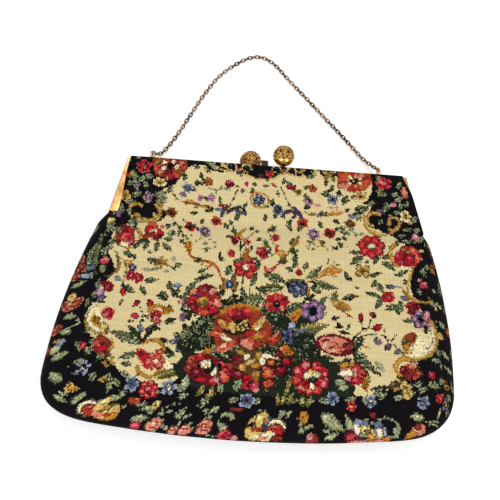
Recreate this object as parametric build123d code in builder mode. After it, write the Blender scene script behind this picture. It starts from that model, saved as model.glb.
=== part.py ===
"""Framed tapestry handbag with a two-ball clasp and a chain handle, lying on its back.

Millimetres. +X is across the bag, +Y points from the pouch to the clasp, and +Z comes out
of the front. The pieces are drawn with y measured from the hinge axis, and written with the
origin in the middle of the flat of the back that the bag rests on.
"""
from build123d import *
import math
import os

os.makedirs("parts", exist_ok=True)

# Metal frame: two stamped channels that close on each other
frame_top_width = 168.0
frame_hinge_width = 191.0
frame_height = 40.0
half_depth = 5.4
frame_metal = 0.8
frame_face_width = 8.0
frame_lip_depth = 2.5
frame_edge_radius = 0.5
parting_gap = 0.2
arm_end = 5.0

# Cloth and lining
cloth = 1.2
lining = 0.4
lining_gap = 0.2
frame_lift = 6.4
cover_side_margin = 1.6
cover_bottom = 6.0
front_lining_bottom = 8.0
back_lining_bottom = 3.0
frame_lining_recess = 0.6

# Pouch outline along the seams, and how far the gusset rolls out between them
pouch_top = 3.5
seam_top_inset = 2.0
seam_half_bottom = 110.5
seam_corner = -106.0
seam_sag = 6.0
seam_side_bulge = 1.0
seam_corner_radius = 15.0
mouth_corner_radius = 4.0
roll_top = 3.5
roll_side = 8.0
roll_corner = 11.5
roll_sag = 4.0
roll_side_bulge = 3.0
roll_corner_radius = 10.0
gusset_end = -5.0
gusset_roll = ((0.0, 0.0), (0.2, 0.78), (0.45, 1.0), (0.75, 0.74), (1.0, 0.0))

# Pouch heights: the front seam climbs from the hinge down to the bottom of the bag
front_seam_rise = 4.4
front_seam_tuck = 0.4
front_shoulder_share = 0.46
front_crown_height = 5.2
front_shoulder_inset = 5.0
front_shoulder_top_inset = 10.0
front_crown_inset = 38.0
front_crown_top_inset = 46.0
back_shoulder_share = 0.42
back_shoulder_inset = 3.5
back_flat_inset = 14.0
back_flat_top_inset = 20.0
corner_relief_inset = 11.5

# Inner pocket
pocket_width = 82.0
pocket_height = 54.0
pocket_thickness = 0.9
pocket_gap = 0.1
pocket_top = -26.0
pocket_corner_radius = 5.0

# Hinges: an ear on each arm, side by side, with a rivet through both
ear_radius = 4.0
ear_thickness = 0.9
ear_gap = 0.2
ear_rim_inset = 0.8125
ear_tang_reach = 9.0
rivet_radius = 1.0
rivet_clearance = 0.06
rivet_head_radius = 2.0
rivet_head = 0.7
rivet_side_play = 0.1

# Clasp: a pierced ball on a smooth cup on each half, and a catch tongue between them
ball_radius = 6.5
ball_shell = 0.8
filigree_shell = 0.7
ball_offset = 9.05
ball_height = 7.4
ball_lean = 3.5
ball_split = 1.6
post_radius = 1.5
post_flange_radius = 2.4
post_flange = 0.5
pierced_row_angles = (8.0, 35.0, 61.0)
pierced_row_turn_angles = (0.0, 22.5, 0.0)
pierced_row_counts = (10, 8, 5)
pierced_half_width = 1.15
pierced_half_height = 1.3
top_hole_radius = 0.9
tongue_thickness = 0.8
tongue_width = 4.0
tongue_height = 6.2
tongue_foot_depth = 2.8
tongue_tip_radius = 0.7
tongue_centre = -1.1

# Chain handle: wire eyes on the back half, end rings, and a cable chain laid out above the bag
eye_offset = 68.7
eye_ring_radius = 1.25
eye_wire = 0.7
eye_height = 6.45
eye_stem_radius = 0.6
eye_foot_radius = 2.2
eye_foot = 0.6
end_ring_radius = 1.35
end_ring_wire = 0.6
end_ring_hang = 0.42
end_ring_slope = -60.0
link_wire = 0.66
link_pitch = 2.29
link_play = 0.3
link_width = 2.85
link_corner = 0.8
chain_ground_gap = 0.06
chain_lead = 1.0
chain_slack = 4.5
chain_side_pull = 0.12
chain_lay = ((-61.4, 11.6), (-58.3, 15.6), (-51.7, 25.9), (-42.9, 41.7), (-34.1, 56.3), (-26.9, 65.6),
             (-19.0, 72.3), (-11.3, 77.1), (-3.6, 78.8), (4.2, 75.6), (12.0, 67.7), (21.4, 57.9),
             (34.0, 44.9), (46.5, 32.0), (58.9, 18.6))

# Heights that follow from the sizes above
back_plate_top = frame_lift + cloth
parting = back_plate_top + half_depth
front_face = parting + half_depth
front_seam_start = front_face - front_seam_tuck
pouch_bottom = seam_corner - seam_sag
front_slope = front_seam_rise / (pouch_top - pouch_bottom)
frame_spread = (frame_hinge_width - frame_top_width) / 2 / frame_height
seam_half_top = frame_hinge_width / 2 - seam_top_inset
corner_relief = frame_hinge_width / 2 - corner_relief_inset


# Plane of a section of the gusset, from the back seam (0) to the front seam (1)
def seam_plane(share):
    start = back_plate_top + share * (front_seam_start - back_plate_top)
    slope = share * front_slope
    return Plane(origin=(0, 0, start + slope * pouch_top), x_dir=(1, 0, 0), z_dir=(0, slope, 1))


# Pouch outline: at a seam the roll is 0, at the fullest part of the gusset it is 1
def pouch_section(plane, roll, inset, top_inset, corner_share=1.0):
    top = pouch_top - top_inset
    half_top = seam_half_top + roll * roll_top - inset
    half_bottom = seam_half_bottom + roll * roll_side - inset
    corner = seam_corner - roll * roll_corner + inset
    sag = seam_sag + roll * roll_sag
    middle_x = (half_top + half_bottom) / 2 + seam_side_bulge + roll * roll_side_bulge
    middle_y = (top + corner) / 2
    corner_radius = (seam_corner_radius + roll * roll_corner_radius) * corner_share
    with BuildSketch(plane) as section:
        with BuildLine():
            Line((-half_top, top), (half_top, top))
            ThreePointArc((half_top, top), (middle_x, middle_y), (half_bottom, corner))
            ThreePointArc((half_bottom, corner), (0, corner - sag), (-half_bottom, corner))
            ThreePointArc((-half_bottom, corner), (-middle_x, middle_y), (-half_top, top))
        make_face()
        by_height = section.vertices().sort_by(Axis.Y)
        fillet(by_height[:2], corner_radius)
        fillet(by_height[-2:], mouth_corner_radius)
    return section.sketch


# Side band between the two seams: rolled outwards in the gusset, straight in its lining
def side_band(inset, roll_steps):
    return loft([pouch_section(seam_plane(share), roll, inset, inset) for share, roll in roll_steps],
                mode=Mode.PRIVATE)


# Back bowl, from the back seam down to the flat that the bag rests on
def back_bowl(inset):
    depth = back_plate_top - inset
    shoulder = Plane.XY.offset(inset + depth * back_shoulder_share)
    shoulder_inset = inset + back_shoulder_inset
    return loft([pouch_section(Plane.XY.offset(back_plate_top), 0, inset, inset),
                 pouch_section(shoulder, 0, shoulder_inset, shoulder_inset),
                 pouch_section(Plane.XY.offset(inset), 0, inset + back_flat_inset,
                               inset + back_flat_top_inset)], mode=Mode.PRIVATE)


# Front crown, from the front seam up to the fullest part of the front
def front_crown(inset):
    seam = seam_plane(1.0)
    crown = front_crown_height - inset
    return loft([pouch_section(seam, 0, inset, inset),
                 pouch_section(seam.offset(crown * front_shoulder_share), 0,
                               inset + front_shoulder_inset, inset + front_shoulder_top_inset),
                 pouch_section(seam.offset(crown), 0, inset + front_crown_inset,
                               inset + front_crown_top_inset,
                               1 - front_crown_inset / seam_half_bottom)], mode=Mode.PRIVATE)


# Region inside the frame's outer edge, set in at the sides and the top and cut off at a height
def frame_region(side_inset, top_inset, bottom, mode=Mode.ADD):
    side = side_inset * math.hypot(1, frame_spread)
    top = frame_height - top_inset
    half_top = frame_top_width / 2 + top_inset * frame_spread - side
    half_bottom = frame_top_width / 2 + (frame_height - bottom) * frame_spread - side
    Polygon((-half_top, top), (-half_bottom, bottom), (half_bottom, bottom), (half_top, top),
            align=None, mode=mode)


# Three-sided band of the frame between two insets, open at the arms' ends
def frame_band(outer_inset, inner_inset, bottom):
    frame_region(outer_inset, outer_inset, bottom)
    frame_region(inner_inset, inner_inset, bottom, mode=Mode.SUBTRACT)


# Stamped frame half: a rim, a face and an inner lip, with an ear on each arm for the rivet
def frame_half(facing, ear_start, hole_radius):
    parting_plane = Plane.XY.offset(parting)
    tang_top = facing * (half_depth - frame_metal / 2)
    tang_foot = facing * parting_gap / 2
    with BuildPart() as half:
        with BuildSketch(parting_plane.offset(tang_foot)):
            frame_band(0, frame_face_width, arm_end)
        extrude(amount=facing * (half_depth - parting_gap / 2))
        rim_edges = half.faces().sort_by(Axis.Z)[-1 if facing > 0 else 0].edges()
        rim_edges = rim_edges.filter_by(lambda edge: edge.length > frame_height / 2)
        fillet([rim_edges.sort_by(Axis.X)[0], rim_edges.sort_by(Axis.X)[-1],
                rim_edges.sort_by(Axis.Y)[-1]], frame_edge_radius)
        with BuildSketch(parting_plane):
            frame_band(frame_metal, frame_face_width - frame_metal, arm_end - frame_metal)
        extrude(amount=facing * (half_depth - frame_metal), mode=Mode.SUBTRACT)
        with BuildSketch(parting_plane):
            frame_band(frame_face_width - frame_metal, frame_face_width, arm_end - frame_metal)
        extrude(amount=facing * (half_depth - frame_lip_depth), mode=Mode.SUBTRACT)
        for side in (-1, 1):
            ear_middle = (side * (ear_start + ear_thickness / 2), 0, parting)
            with BuildSketch(Plane(origin=ear_middle, x_dir=(0, 1, 0), z_dir=(1, 0, 0))):
                Circle(ear_radius)
                with BuildLine():
                    Polyline((0, 0), (0, facing * ear_radius), (arm_end, tang_top), (ear_tang_reach, tang_top),
                             (ear_tang_reach, tang_foot), (ear_radius, tang_foot), close=True)
                make_face()
                Circle(hole_radius, mode=Mode.SUBTRACT)
            extrude(amount=ear_thickness / 2, both=True)
    return half


# Frame halves: the front ears run outside the back ears
frame_half_at_tang = frame_top_width / 2 + (frame_height - ear_tang_reach) * frame_spread
back_ear_start = frame_half_at_tang - ear_rim_inset - 2 * ear_thickness - ear_gap
front_ear_start = back_ear_start + ear_thickness + ear_gap
back_frame = frame_half(-1, back_ear_start, rivet_radius)
front_frame = frame_half(1, front_ear_start, rivet_radius + rivet_clearance)


# Hinge rivet: a shank through both ears with a domed head on each side
def hinge_rivet(side):
    shank_length = front_ear_start + ear_thickness + rivet_side_play - back_ear_start
    inner_plane = Plane(origin=(side * back_ear_start, 0, parting), z_dir=(side, 0, 0))
    with BuildPart() as rivet:
        with BuildSketch(inner_plane):
            Circle(rivet_radius)
        extrude(amount=shank_length)
        with BuildSketch(inner_plane):
            Circle(rivet_head_radius)
        extrude(amount=-rivet_head)
        with BuildSketch(inner_plane.offset(shank_length)):
            Circle(rivet_head_radius)
        extrude(amount=rivet_head)
        rims = rivet.edges().filter_by(GeomType.CIRCLE).sort_by(Axis.X)
        chamfer([rims[0], rims[-1]], rivet_head / 3)
    return rivet


hinge_rivet_left = hinge_rivet(-1)
hinge_rivet_right = hinge_rivet(1)

# Back panel: the bowl of the back, and the same cloth carried up over the back frame
with BuildPart() as back_panel:
    add(back_bowl(0))
    add(back_bowl(cloth), mode=Mode.SUBTRACT)
    with BuildSketch(Plane.XY.offset(frame_lift)):
        frame_region(cover_side_margin, 0, pouch_top - cloth)
    extrude(amount=cloth)

# Gusset: one strip down one side, along the bottom and up the other side
with BuildPart() as gusset:
    add(side_band(0, gusset_roll))
    add(side_band(cloth, gusset_roll), mode=Mode.SUBTRACT)
    with BuildSketch(Plane.XY.offset(back_plate_top - cloth)):
        with Locations((0, gusset_end)):
            Rectangle(frame_hinge_width * 2, frame_height, align=(Align.CENTER, Align.MIN))
    extrude(amount=front_face, mode=Mode.SUBTRACT)

# Front panel: the crowned front below the hinge line, relieved where the arms swing up
with BuildPart() as front_panel:
    add(front_crown(0))
    add(front_crown(cloth), mode=Mode.SUBTRACT)
    with BuildSketch(Plane.XY.offset(parting)):
        with Locations((-corner_relief, gusset_end)):
            Rectangle(frame_height, frame_height, align=(Align.MAX, Align.MIN))
        with Locations((corner_relief, gusset_end)):
            Rectangle(frame_height, frame_height, align=(Align.MIN, Align.MIN))
    extrude(amount=front_face, mode=Mode.SUBTRACT)

# Front cover: the same cloth over the front frame
with BuildPart() as front_cover:
    with BuildSketch(Plane.XY.offset(front_face)):
        frame_region(cover_side_margin, 0, cover_bottom)
    extrude(amount=cloth)

# Pouch lining: the same three pieces in satin, set in from the cloth and open at the mouth
lining_outside = cloth + lining_gap
lining_inside = lining_outside + lining
with BuildPart() as back_lining:
    add(back_bowl(lining_outside))
    add(back_bowl(lining_inside), mode=Mode.SUBTRACT)

straight = ((0.0, 0.0), (1.0, 0.0))
with BuildPart() as gusset_lining:
    add(side_band(lining_outside, straight))
    add(side_band(lining_inside, straight), mode=Mode.SUBTRACT)
    with BuildSketch(Plane.XY.offset(back_plate_top - cloth)):
        with Locations((0, gusset_end)):
            Rectangle(frame_hinge_width * 2, frame_height, align=(Align.CENTER, Align.MIN))
    extrude(amount=front_face, mode=Mode.SUBTRACT)

with BuildPart() as front_lining:
    add(front_crown(lining_outside))
    add(front_crown(lining_inside), mode=Mode.SUBTRACT)
    with BuildSketch(Plane.XY.offset(parting)):
        with Locations((-corner_relief, gusset_end)):
            Rectangle(frame_height, frame_height, align=(Align.MAX, Align.MIN))
        with Locations((corner_relief, gusset_end)):
            Rectangle(frame_height, frame_height, align=(Align.MIN, Align.MIN))
    extrude(amount=front_face, mode=Mode.SUBTRACT)

# Frame linings: satin tucked behind the inner lips of both halves
window_inset = frame_face_width + lining_gap
with BuildPart() as back_frame_lining:
    with BuildSketch(Plane.XY.offset(back_plate_top + frame_lining_recess)):
        frame_region(window_inset, window_inset, back_lining_bottom)
    extrude(amount=lining)

with BuildPart() as front_frame_lining:
    with BuildSketch(Plane.XY.offset(front_face - frame_lining_recess)):
        frame_region(window_inset, window_inset, front_lining_bottom)
    extrude(amount=-lining)

# Inner pocket: a flat patch pocket sewn to the back of the lining
with BuildPart() as inner_pocket:
    with BuildSketch(Plane.XY.offset(lining_inside + pocket_gap)) as pocket_outline:
        with Locations((0, pocket_top)):
            Rectangle(pocket_width, pocket_height, align=(Align.CENTER, Align.MAX))
        fillet(pocket_outline.vertices().sort_by(Axis.Y)[:2], pocket_corner_radius)
    extrude(amount=pocket_thickness)

# Chain eyes: a flat ring on a stem, brazed to the top of the back rim
rim_middle_back = parting - half_depth / 2
rim_middle_front = parting + half_depth / 2


def chain_eye(side):
    foot_centre = (side * eye_offset, frame_height, rim_middle_back)
    rim_plane = Plane(origin=foot_centre, z_dir=(0, 1, 0))
    ring_height = eye_height - eye_ring_radius
    with BuildPart() as eye:
        with BuildSketch(rim_plane):
            Circle(eye_foot_radius)
        extrude(amount=eye_foot)
        with BuildSketch(rim_plane):
            Circle(eye_stem_radius)
        extrude(amount=ring_height - eye_ring_radius)
        with BuildSketch(Plane.XY.offset(rim_middle_back)):
            with Locations((side * eye_offset, frame_height + ring_height)):
                Circle(eye_ring_radius + eye_wire / 2)
                Circle(eye_ring_radius - eye_wire / 2, mode=Mode.SUBTRACT)
        extrude(amount=eye_wire / 2, both=True)
    return eye


chain_eye_left = chain_eye(-1)
chain_eye_right = chain_eye(1)

# End rings: each hangs on the far side of its eye and turns about it
swing_height = frame_height + eye_height
ring_slope = math.radians(end_ring_slope)
ring_direction = Vector(0, math.cos(ring_slope), math.sin(ring_slope))


def end_ring(side):
    swing_axis_point = Vector(side * eye_offset, swing_height, rim_middle_back)
    ring_centre = swing_axis_point + ring_direction * end_ring_hang
    with BuildPart() as ring:
        with BuildSketch(Plane(origin=ring_centre, x_dir=(0, 1, 0), z_dir=(1, 0, 0))):
            Circle(end_ring_radius + end_ring_wire / 2)
            Circle(end_ring_radius - end_ring_wire / 2, mode=Mode.SUBTRACT)
        extrude(amount=end_ring_wire / 2, both=True)
    return ring


chain_end_ring_left = end_ring(-1)
chain_end_ring_right = end_ring(1)

# Chain route: down from one end ring, along the ground above the bag, and up to the other
link_length = link_pitch + link_play + 2 * link_wire
link_level = link_width / 2 + chain_ground_gap
ring_far_wire = ring_direction * (end_ring_hang + end_ring_radius)
left_start = Vector(-eye_offset, swing_height, rim_middle_back) + ring_far_wire
right_end = Vector(eye_offset, swing_height, rim_middle_back) + ring_far_wire
left_way = (ring_direction + Vector(chain_side_pull, 0, 0)).normalized()
right_way = (ring_direction - Vector(chain_side_pull, 0, 0)).normalized()
left_lead = left_start + left_way * chain_lead
right_lead = right_end + right_way * chain_lead
with BuildLine() as chain_route:
    lay = Spline(*[(x, frame_height + above_frame, link_level) for x, above_frame in chain_lay])
    Line(left_start, left_lead)
    Bezier(left_lead, left_lead + left_way * chain_slack, lay @ 0 - (lay % 0) * chain_slack, lay @ 0)
    Bezier(lay @ 1, lay @ 1 + (lay % 1) * chain_slack, right_lead + right_way * chain_slack, right_lead)
    Line(right_lead, right_end)
route = chain_route.wires()[0]

# Chain links: every second link stands on edge, and each is threaded through its neighbours
end_overlap = (end_ring_wire + link_wire) / 2 + link_play
first_centre = (link_length - link_wire) / 2 - end_overlap
link_run = route.length - 2 * first_centre
link_count = 2 * round(link_run / link_pitch / 2) + 1
link_planes = []
for number in range(link_count):
    place = (first_centre + number * link_run / (link_count - 1)) / route.length
    tangent = route % place
    sideways = Vector(0, 0, 1).cross(tangent).normalized()
    face_normal = tangent.cross(sideways) if number % 2 == 0 else sideways
    link_planes.append(Plane(origin=route @ place, x_dir=tangent, z_dir=face_normal))

with BuildPart() as link:
    with BuildSketch() as link_shape:
        Rectangle(link_length, link_width)
        chamfer(link_shape.vertices(), link_corner)
        with BuildSketch(mode=Mode.PRIVATE) as link_hole:
            Rectangle(link_length - 2 * link_wire, link_width - 2 * link_wire)
            chamfer(link_hole.vertices(), link_corner - link_wire * (2 - math.sqrt(2)))
        add(link_hole.sketch, mode=Mode.SUBTRACT)
    extrude(amount=link_wire / 2, both=True)
chain_links = Compound([link.part.moved(Location(plane)) for plane in link_planes])


# Clasp ball: a stem on a flange, a smooth cup over the stem and a pierced dome on the cup
def clasp_ball(x, facing, rim_middle):
    base = Vector(x, frame_height, rim_middle)
    centre = base + Vector(0, ball_height, facing * ball_lean)
    reach = (centre - base).length
    upward = (centre - base).normalized()
    across = Vector(1, 0, 0)
    forward = upward.cross(across)
    profile_plane = Plane(origin=base, x_dir=across, z_dir=across.cross(upward))
    stem_axis = Axis(base, upward)
    rim_plane = Plane(origin=base, z_dir=(0, 1, 0))

    with BuildPart() as post:
        with BuildSketch(Plane(origin=base - upward * post_radius, z_dir=upward)):
            Circle(post_radius)
        extrude(amount=reach - ball_radius + ball_shell + post_flange + post_radius)
        with BuildSketch(rim_plane):
            Circle(post_flange_radius)
        extrude(amount=post_flange)
        split(bisect_by=rim_plane, keep=Keep.TOP)

    with BuildPart() as cup:
        with BuildSketch(profile_plane):
            with Locations((0, reach)):
                Circle(ball_radius)
                Circle(ball_radius - ball_shell, mode=Mode.SUBTRACT)
            with Locations((post_radius, reach - ball_split)):
                Rectangle(ball_radius, ball_radius, align=(Align.MIN, Align.MAX), mode=Mode.INTERSECT)
        revolve(axis=stem_axis)

    with BuildPart() as filigree:
        with BuildSketch(profile_plane):
            with Locations((0, reach)):
                Circle(ball_radius)
                Circle(ball_radius - filigree_shell, mode=Mode.SUBTRACT)
            with Locations((top_hole_radius, reach - ball_split)):
                Rectangle(ball_radius, 2 * ball_radius, align=(Align.MIN, Align.MIN), mode=Mode.INTERSECT)
        revolve(axis=stem_axis)
        piercings = []
        for latitude, turn, count in zip(pierced_row_angles, pierced_row_turn_angles, pierced_row_counts):
            rise = math.radians(latitude)
            for number in range(count):
                bearing = math.radians(turn + 360 * number / count)
                level = across * math.cos(bearing) + forward * math.sin(bearing)
                tangent = forward * math.cos(bearing) - across * math.sin(bearing)
                outward = level * math.cos(rise) + upward * math.sin(rise)
                start = centre + outward * (ball_radius - 2 * filigree_shell)
                piercings.append(Plane(origin=start, x_dir=tangent, z_dir=outward))
        with BuildSketch(*piercings):
            Ellipse(pierced_half_width, pierced_half_height)
        extrude(amount=3 * filigree_shell, mode=Mode.SUBTRACT)
    return post, cup, filigree


back_ball_post, back_ball_cup, back_ball_filigree = clasp_ball(-ball_offset, -1, rim_middle_back)
front_ball_post, front_ball_cup, front_ball_filigree = clasp_ball(ball_offset, 1, rim_middle_front)

# Catch tongue: a bent strip on the back rim between the balls, with a rolled tip
with BuildPart() as catch_tongue:
    with BuildSketch(Plane(origin=(tongue_centre, frame_height, rim_middle_back), x_dir=(0, 1, 0),
                           z_dir=(1, 0, 0))):
        Rectangle(tongue_thickness, tongue_foot_depth, align=(Align.MIN, Align.CENTER))
        with Locations((0, tongue_foot_depth / 2)):
            Rectangle(tongue_height, tongue_thickness, align=(Align.MIN, Align.MAX))
        with Locations((tongue_height, tongue_foot_depth / 2 - tongue_tip_radius)):
            Circle(tongue_tip_radius)
    extrude(amount=tongue_width / 2, both=True)

# Labels and files, one for each piece
pieces = {
    "back_panel": back_panel.part,
    "gusset": gusset.part,
    "front_panel": front_panel.part,
    "back_lining": back_lining.part,
    "gusset_lining": gusset_lining.part,
    "front_lining": front_lining.part,
    "inner_pocket": inner_pocket.part,
    "back_frame": back_frame.part,
    "back_frame_lining": back_frame_lining.part,
    "hinge_rivet_left": hinge_rivet_left.part,
    "hinge_rivet_right": hinge_rivet_right.part,
    "back_ball_post": back_ball_post.part,
    "back_ball_cup": back_ball_cup.part,
    "back_ball_filigree": back_ball_filigree.part,
    "catch_tongue": catch_tongue.part,
    "chain_eye_left": chain_eye_left.part,
    "chain_eye_right": chain_eye_right.part,
    "front_frame": front_frame.part,
    "front_cover": front_cover.part,
    "front_frame_lining": front_frame_lining.part,
    "front_ball_post": front_ball_post.part,
    "front_ball_cup": front_ball_cup.part,
    "front_ball_filigree": front_ball_filigree.part,
    "chain_end_ring_left": chain_end_ring_left.part,
    "chain_end_ring_right": chain_end_ring_right.part,
    "chain_links": chain_links,
}
rest_centre = (pouch_top - back_flat_top_inset + pouch_bottom + back_flat_inset) / 2
for name, piece in pieces.items():
    placed = piece.moved(Location((0, -rest_centre, 0)))
    placed.label = name
    export_step(placed, f"parts/{name}.step")
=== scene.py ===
"""Looks of a framed tapestry handbag, lying on its back with its chain laid out above it.

The CAD pieces stay in metres in the row frame. The cloth is drawn in millimetres with y measured
from the hinge axis, as a pattern cutter would, and moved to the row frame when a mesh is made.
"""
import math
import bpy
import numpy as np
from mathutils import Matrix, Vector


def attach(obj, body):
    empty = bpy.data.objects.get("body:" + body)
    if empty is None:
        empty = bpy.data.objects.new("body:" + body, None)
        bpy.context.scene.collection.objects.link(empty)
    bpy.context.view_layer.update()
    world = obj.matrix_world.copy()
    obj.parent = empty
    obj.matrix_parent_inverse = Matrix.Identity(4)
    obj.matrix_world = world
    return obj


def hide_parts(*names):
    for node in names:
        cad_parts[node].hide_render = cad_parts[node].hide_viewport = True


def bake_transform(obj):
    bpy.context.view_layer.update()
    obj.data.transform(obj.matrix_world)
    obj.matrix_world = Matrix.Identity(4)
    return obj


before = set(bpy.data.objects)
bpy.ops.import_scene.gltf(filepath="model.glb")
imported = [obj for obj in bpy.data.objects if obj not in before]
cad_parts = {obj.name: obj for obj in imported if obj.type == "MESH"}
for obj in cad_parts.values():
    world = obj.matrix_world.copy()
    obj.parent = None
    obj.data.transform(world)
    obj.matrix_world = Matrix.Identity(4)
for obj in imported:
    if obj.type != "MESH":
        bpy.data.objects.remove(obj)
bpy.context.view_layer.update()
scene = bpy.context.scene
scene.view_settings.view_transform = "Standard"

# Studio: a white table under plain soft light, seen by a long lens from the bag's bottom edge.
# The camera stands 22 degrees left of the bag's middle line and 68 degrees above the table.
aim = np.array((-0.0085787, 0.0475263, 0.008))
camera_distance = 1.5
camera_side, camera_rise, camera_roll = math.radians(-22.0), math.radians(68.2), math.radians(1.0913)
away = np.array((math.sin(camera_side) * math.cos(camera_rise),
                 -math.cos(camera_side) * math.cos(camera_rise), math.sin(camera_rise)))
level = np.cross((0.0, 1.0, 0.0), away)
level /= np.linalg.norm(level)
upright = np.cross(away, level)
camera_right = math.cos(camera_roll) * level + math.sin(camera_roll) * upright
camera_up = math.cos(camera_roll) * upright - math.sin(camera_roll) * level
camera_data = bpy.data.cameras.new("photo_camera")
camera_data.lens = 182.205
camera_data.sensor_width = 36.0
camera = bpy.data.objects.new("photo_camera", camera_data)
camera_place = np.eye(4)
camera_place[:3, 0], camera_place[:3, 1], camera_place[:3, 2] = camera_right, camera_up, away
camera_place[:3, 3] = aim + away * camera_distance
camera.matrix_world = Matrix(camera_place.tolist())
scene.collection.objects.link(camera)
scene.camera = camera

world = bpy.data.worlds.new("white_room")
world.use_nodes = True
world.node_tree.nodes["Background"].inputs["Color"].default_value = (1.0, 1.0, 1.0, 1.0)
world.node_tree.nodes["Background"].inputs["Strength"].default_value = 0.62
scene.world = world


def softbox(name, place, size, power):
    """A square soft lamp that faces the bag."""
    lamp = bpy.data.lights.new(name, "AREA")
    lamp.shape = "SQUARE"
    lamp.size = size
    lamp.energy = power
    lamp_object = bpy.data.objects.new(name, lamp)
    lamp_object.location = place
    lamp_object.rotation_mode = "QUATERNION"
    lamp_object.rotation_quaternion = Vector(place).to_track_quat("Z", "Y")
    scene.collection.objects.link(lamp_object)


softbox("softbox_left", (-0.85, -1.2, 0.6), 0.7, 9.0)
softbox("softbox_right", (0.8, -1.25, 0.6), 0.7, 8.0)
softbox("softbox_top", (0.1, 0.7, 1.4), 1.0, 8.0)


def plain_mesh(name, points, faces, body):
    """A smooth-shaded piece of points and faces that rides on one body."""
    mesh = bpy.data.meshes.new(name)
    mesh.from_pydata([tuple(point) for point in points], [], [tuple(face) for face in faces])
    mesh.polygons.foreach_set("use_smooth", [True] * len(mesh.polygons))
    mesh.update()
    piece = bpy.data.objects.new(name, mesh)
    scene.collection.objects.link(piece)
    if body:
        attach(piece, body)
    return piece


def new_material(name):
    material = bpy.data.materials.new(name)
    material.use_nodes = True
    return material, material.node_tree.nodes, material.node_tree.links


def shade(code):
    """Linear colour of a six-figure sRGB code."""
    parts = [int(code[k:k + 2], 16) / 255 for k in (0, 2, 4)]
    return tuple(part / 12.92 if part <= 0.04045 else ((part + 0.055) / 1.055) ** 2.4 for part in parts)


table_corners = [(-3, -3, 0), (3, -3, 0), (3, 3, 0), (-3, 3, 0)]
table_top = plain_mesh("table_top", table_corners, [(0, 1, 2, 3)], None)
table_paint, nodes, links = new_material("white_table")
nodes["Principled BSDF"].inputs["Base Color"].default_value = (0.95, 0.95, 0.95, 1.0)
nodes["Principled BSDF"].inputs["Roughness"].default_value = 0.9
nodes["Principled BSDF"].inputs["Specular IOR Level"].default_value = 0.0
rays = nodes.new("ShaderNodeLightPath")
lift = nodes.new("ShaderNodeMath")
lift.operation = "MULTIPLY"
lift.inputs[1].default_value = 0.38
links.new(rays.outputs["Is Camera Ray"], lift.inputs[0])
nodes["Principled BSDF"].inputs["Emission Color"].default_value = (1.0, 1.0, 1.0, 1.0)
links.new(lift.outputs[0], nodes["Principled BSDF"].inputs["Emission Strength"])
table_top.data.materials.append(table_paint)
# Cloth body: the shape that the front, the gusset and the back are cut to. The seams follow the
# CAD pouch; the filled body leans a little to the left at its foot, as the real one has settled.
hinge_row_y = 57.25
frame_top, frame_half_top, frame_spread = 40.0, 84.0, 0.2875
pouch_top, seam_corner, seam_sag = 3.5, -106.0, 6.0
seam_half_top, seam_half_bottom = 93.5, 111.2


def smooth(value):
    value = np.clip(value, 0.0, 1.0)
    return value * value * (3 - 2 * value)


def frame_side(y):
    """Half width of the metal frame at height y."""
    return frame_half_top + (frame_top - y) * frame_spread


def lean(y, share):
    """How far the body leans left: share is 0 at the back seam and 1 at the front seam."""
    fall = np.clip((5.0 - y) / 95.0, 0.0, 1.25)
    return -(1 - share) ** 0.5 * 9.3 * fall - (1 - (1 - share) ** 0.5) * 4.0 * fall ** 1.5


def outline(roll, count, rise=0.0):
    """Points along the pouch edge from the left top, round the bottom, to the right top."""
    half_top = seam_half_top + roll * 3.5
    half_bottom = seam_half_bottom + roll * 9.3
    corner = seam_corner - roll * 11.5
    sag = seam_sag + roll * 4.0
    bulge = 1.0 + roll * 4.4
    run = np.linspace(-rise, 1, 120)
    half_top = half_top - roll * 3.5 * (1 - smooth((run + rise) / 0.09)) if rise else half_top
    side_y = pouch_top + (corner - pouch_top) * run
    side_x = half_top + (half_bottom - half_top) * run + bulge * 4 * run * (1 - run)
    bottom_x = np.linspace(half_bottom, -half_bottom, 200)
    bottom_y = corner - sag * (1 - (bottom_x / half_bottom) ** 2)
    reach = 14.0 + roll * 8.0
    right = np.stack((side_x, side_y), 1)
    foot = np.stack((bottom_x, bottom_y), 1)
    keep_right = right[right[:, 1] > corner + reach]
    keep_foot = foot[np.abs(foot[:, 0]) < half_bottom - reach * 1.25]
    turn = np.linspace(0, 1, 24)[1:-1, None]
    start, end, tip = keep_right[-1], keep_foot[0], np.array((half_bottom, corner))
    bend = (1 - turn) ** 2 * start + 2 * turn * (1 - turn) * tip + turn ** 2 * end
    mirror = (-1, 1)
    line = np.concatenate((keep_right, bend, keep_foot, (bend * mirror)[::-1], (keep_right * mirror)[::-1]))
    steps = np.concatenate(((0,), np.cumsum(np.hypot(*np.diff(line, axis=0).T))))
    at = np.linspace(0, steps[-1], count)
    return np.stack((np.interp(at, steps, line[:, 0]), np.interp(at, steps, line[:, 1])), 1)[::-1], steps[-1]


def strip_profile(count):
    """Roll and share from the front seam (0) to the back seam, in even steps round the curve."""
    at = np.linspace(0, 1, 400)
    roll = np.sin(np.pi * at) ** 0.8 * 1.12
    share = 0.5 * (1 + np.cos(np.pi * (0.15 + 0.7 * at)) / math.cos(0.15 * math.pi))
    steps = np.concatenate(((0,), np.cumsum(np.hypot(11.5 * np.diff(roll), 12.5 * np.diff(share)))))
    even = np.linspace(0, steps[-1], count)
    return np.interp(even, steps, roll), np.interp(even, steps, share), steps[-1]


def seam_height(y):
    return 18.0 + 4.4 / 115.5 * (pouch_top - np.minimum(y, pouch_top))


def edge_half_width(y):
    """Half width inside the front seam at height y, before the lean."""
    run = np.clip((pouch_top - y) / (pouch_top - seam_corner), 0, 1)
    below = seam_half_top + (seam_half_bottom - seam_half_top) * run + 4 * run * (1 - run)
    return np.where(y > pouch_top, frame_side(y) - 1.0, below)


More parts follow.
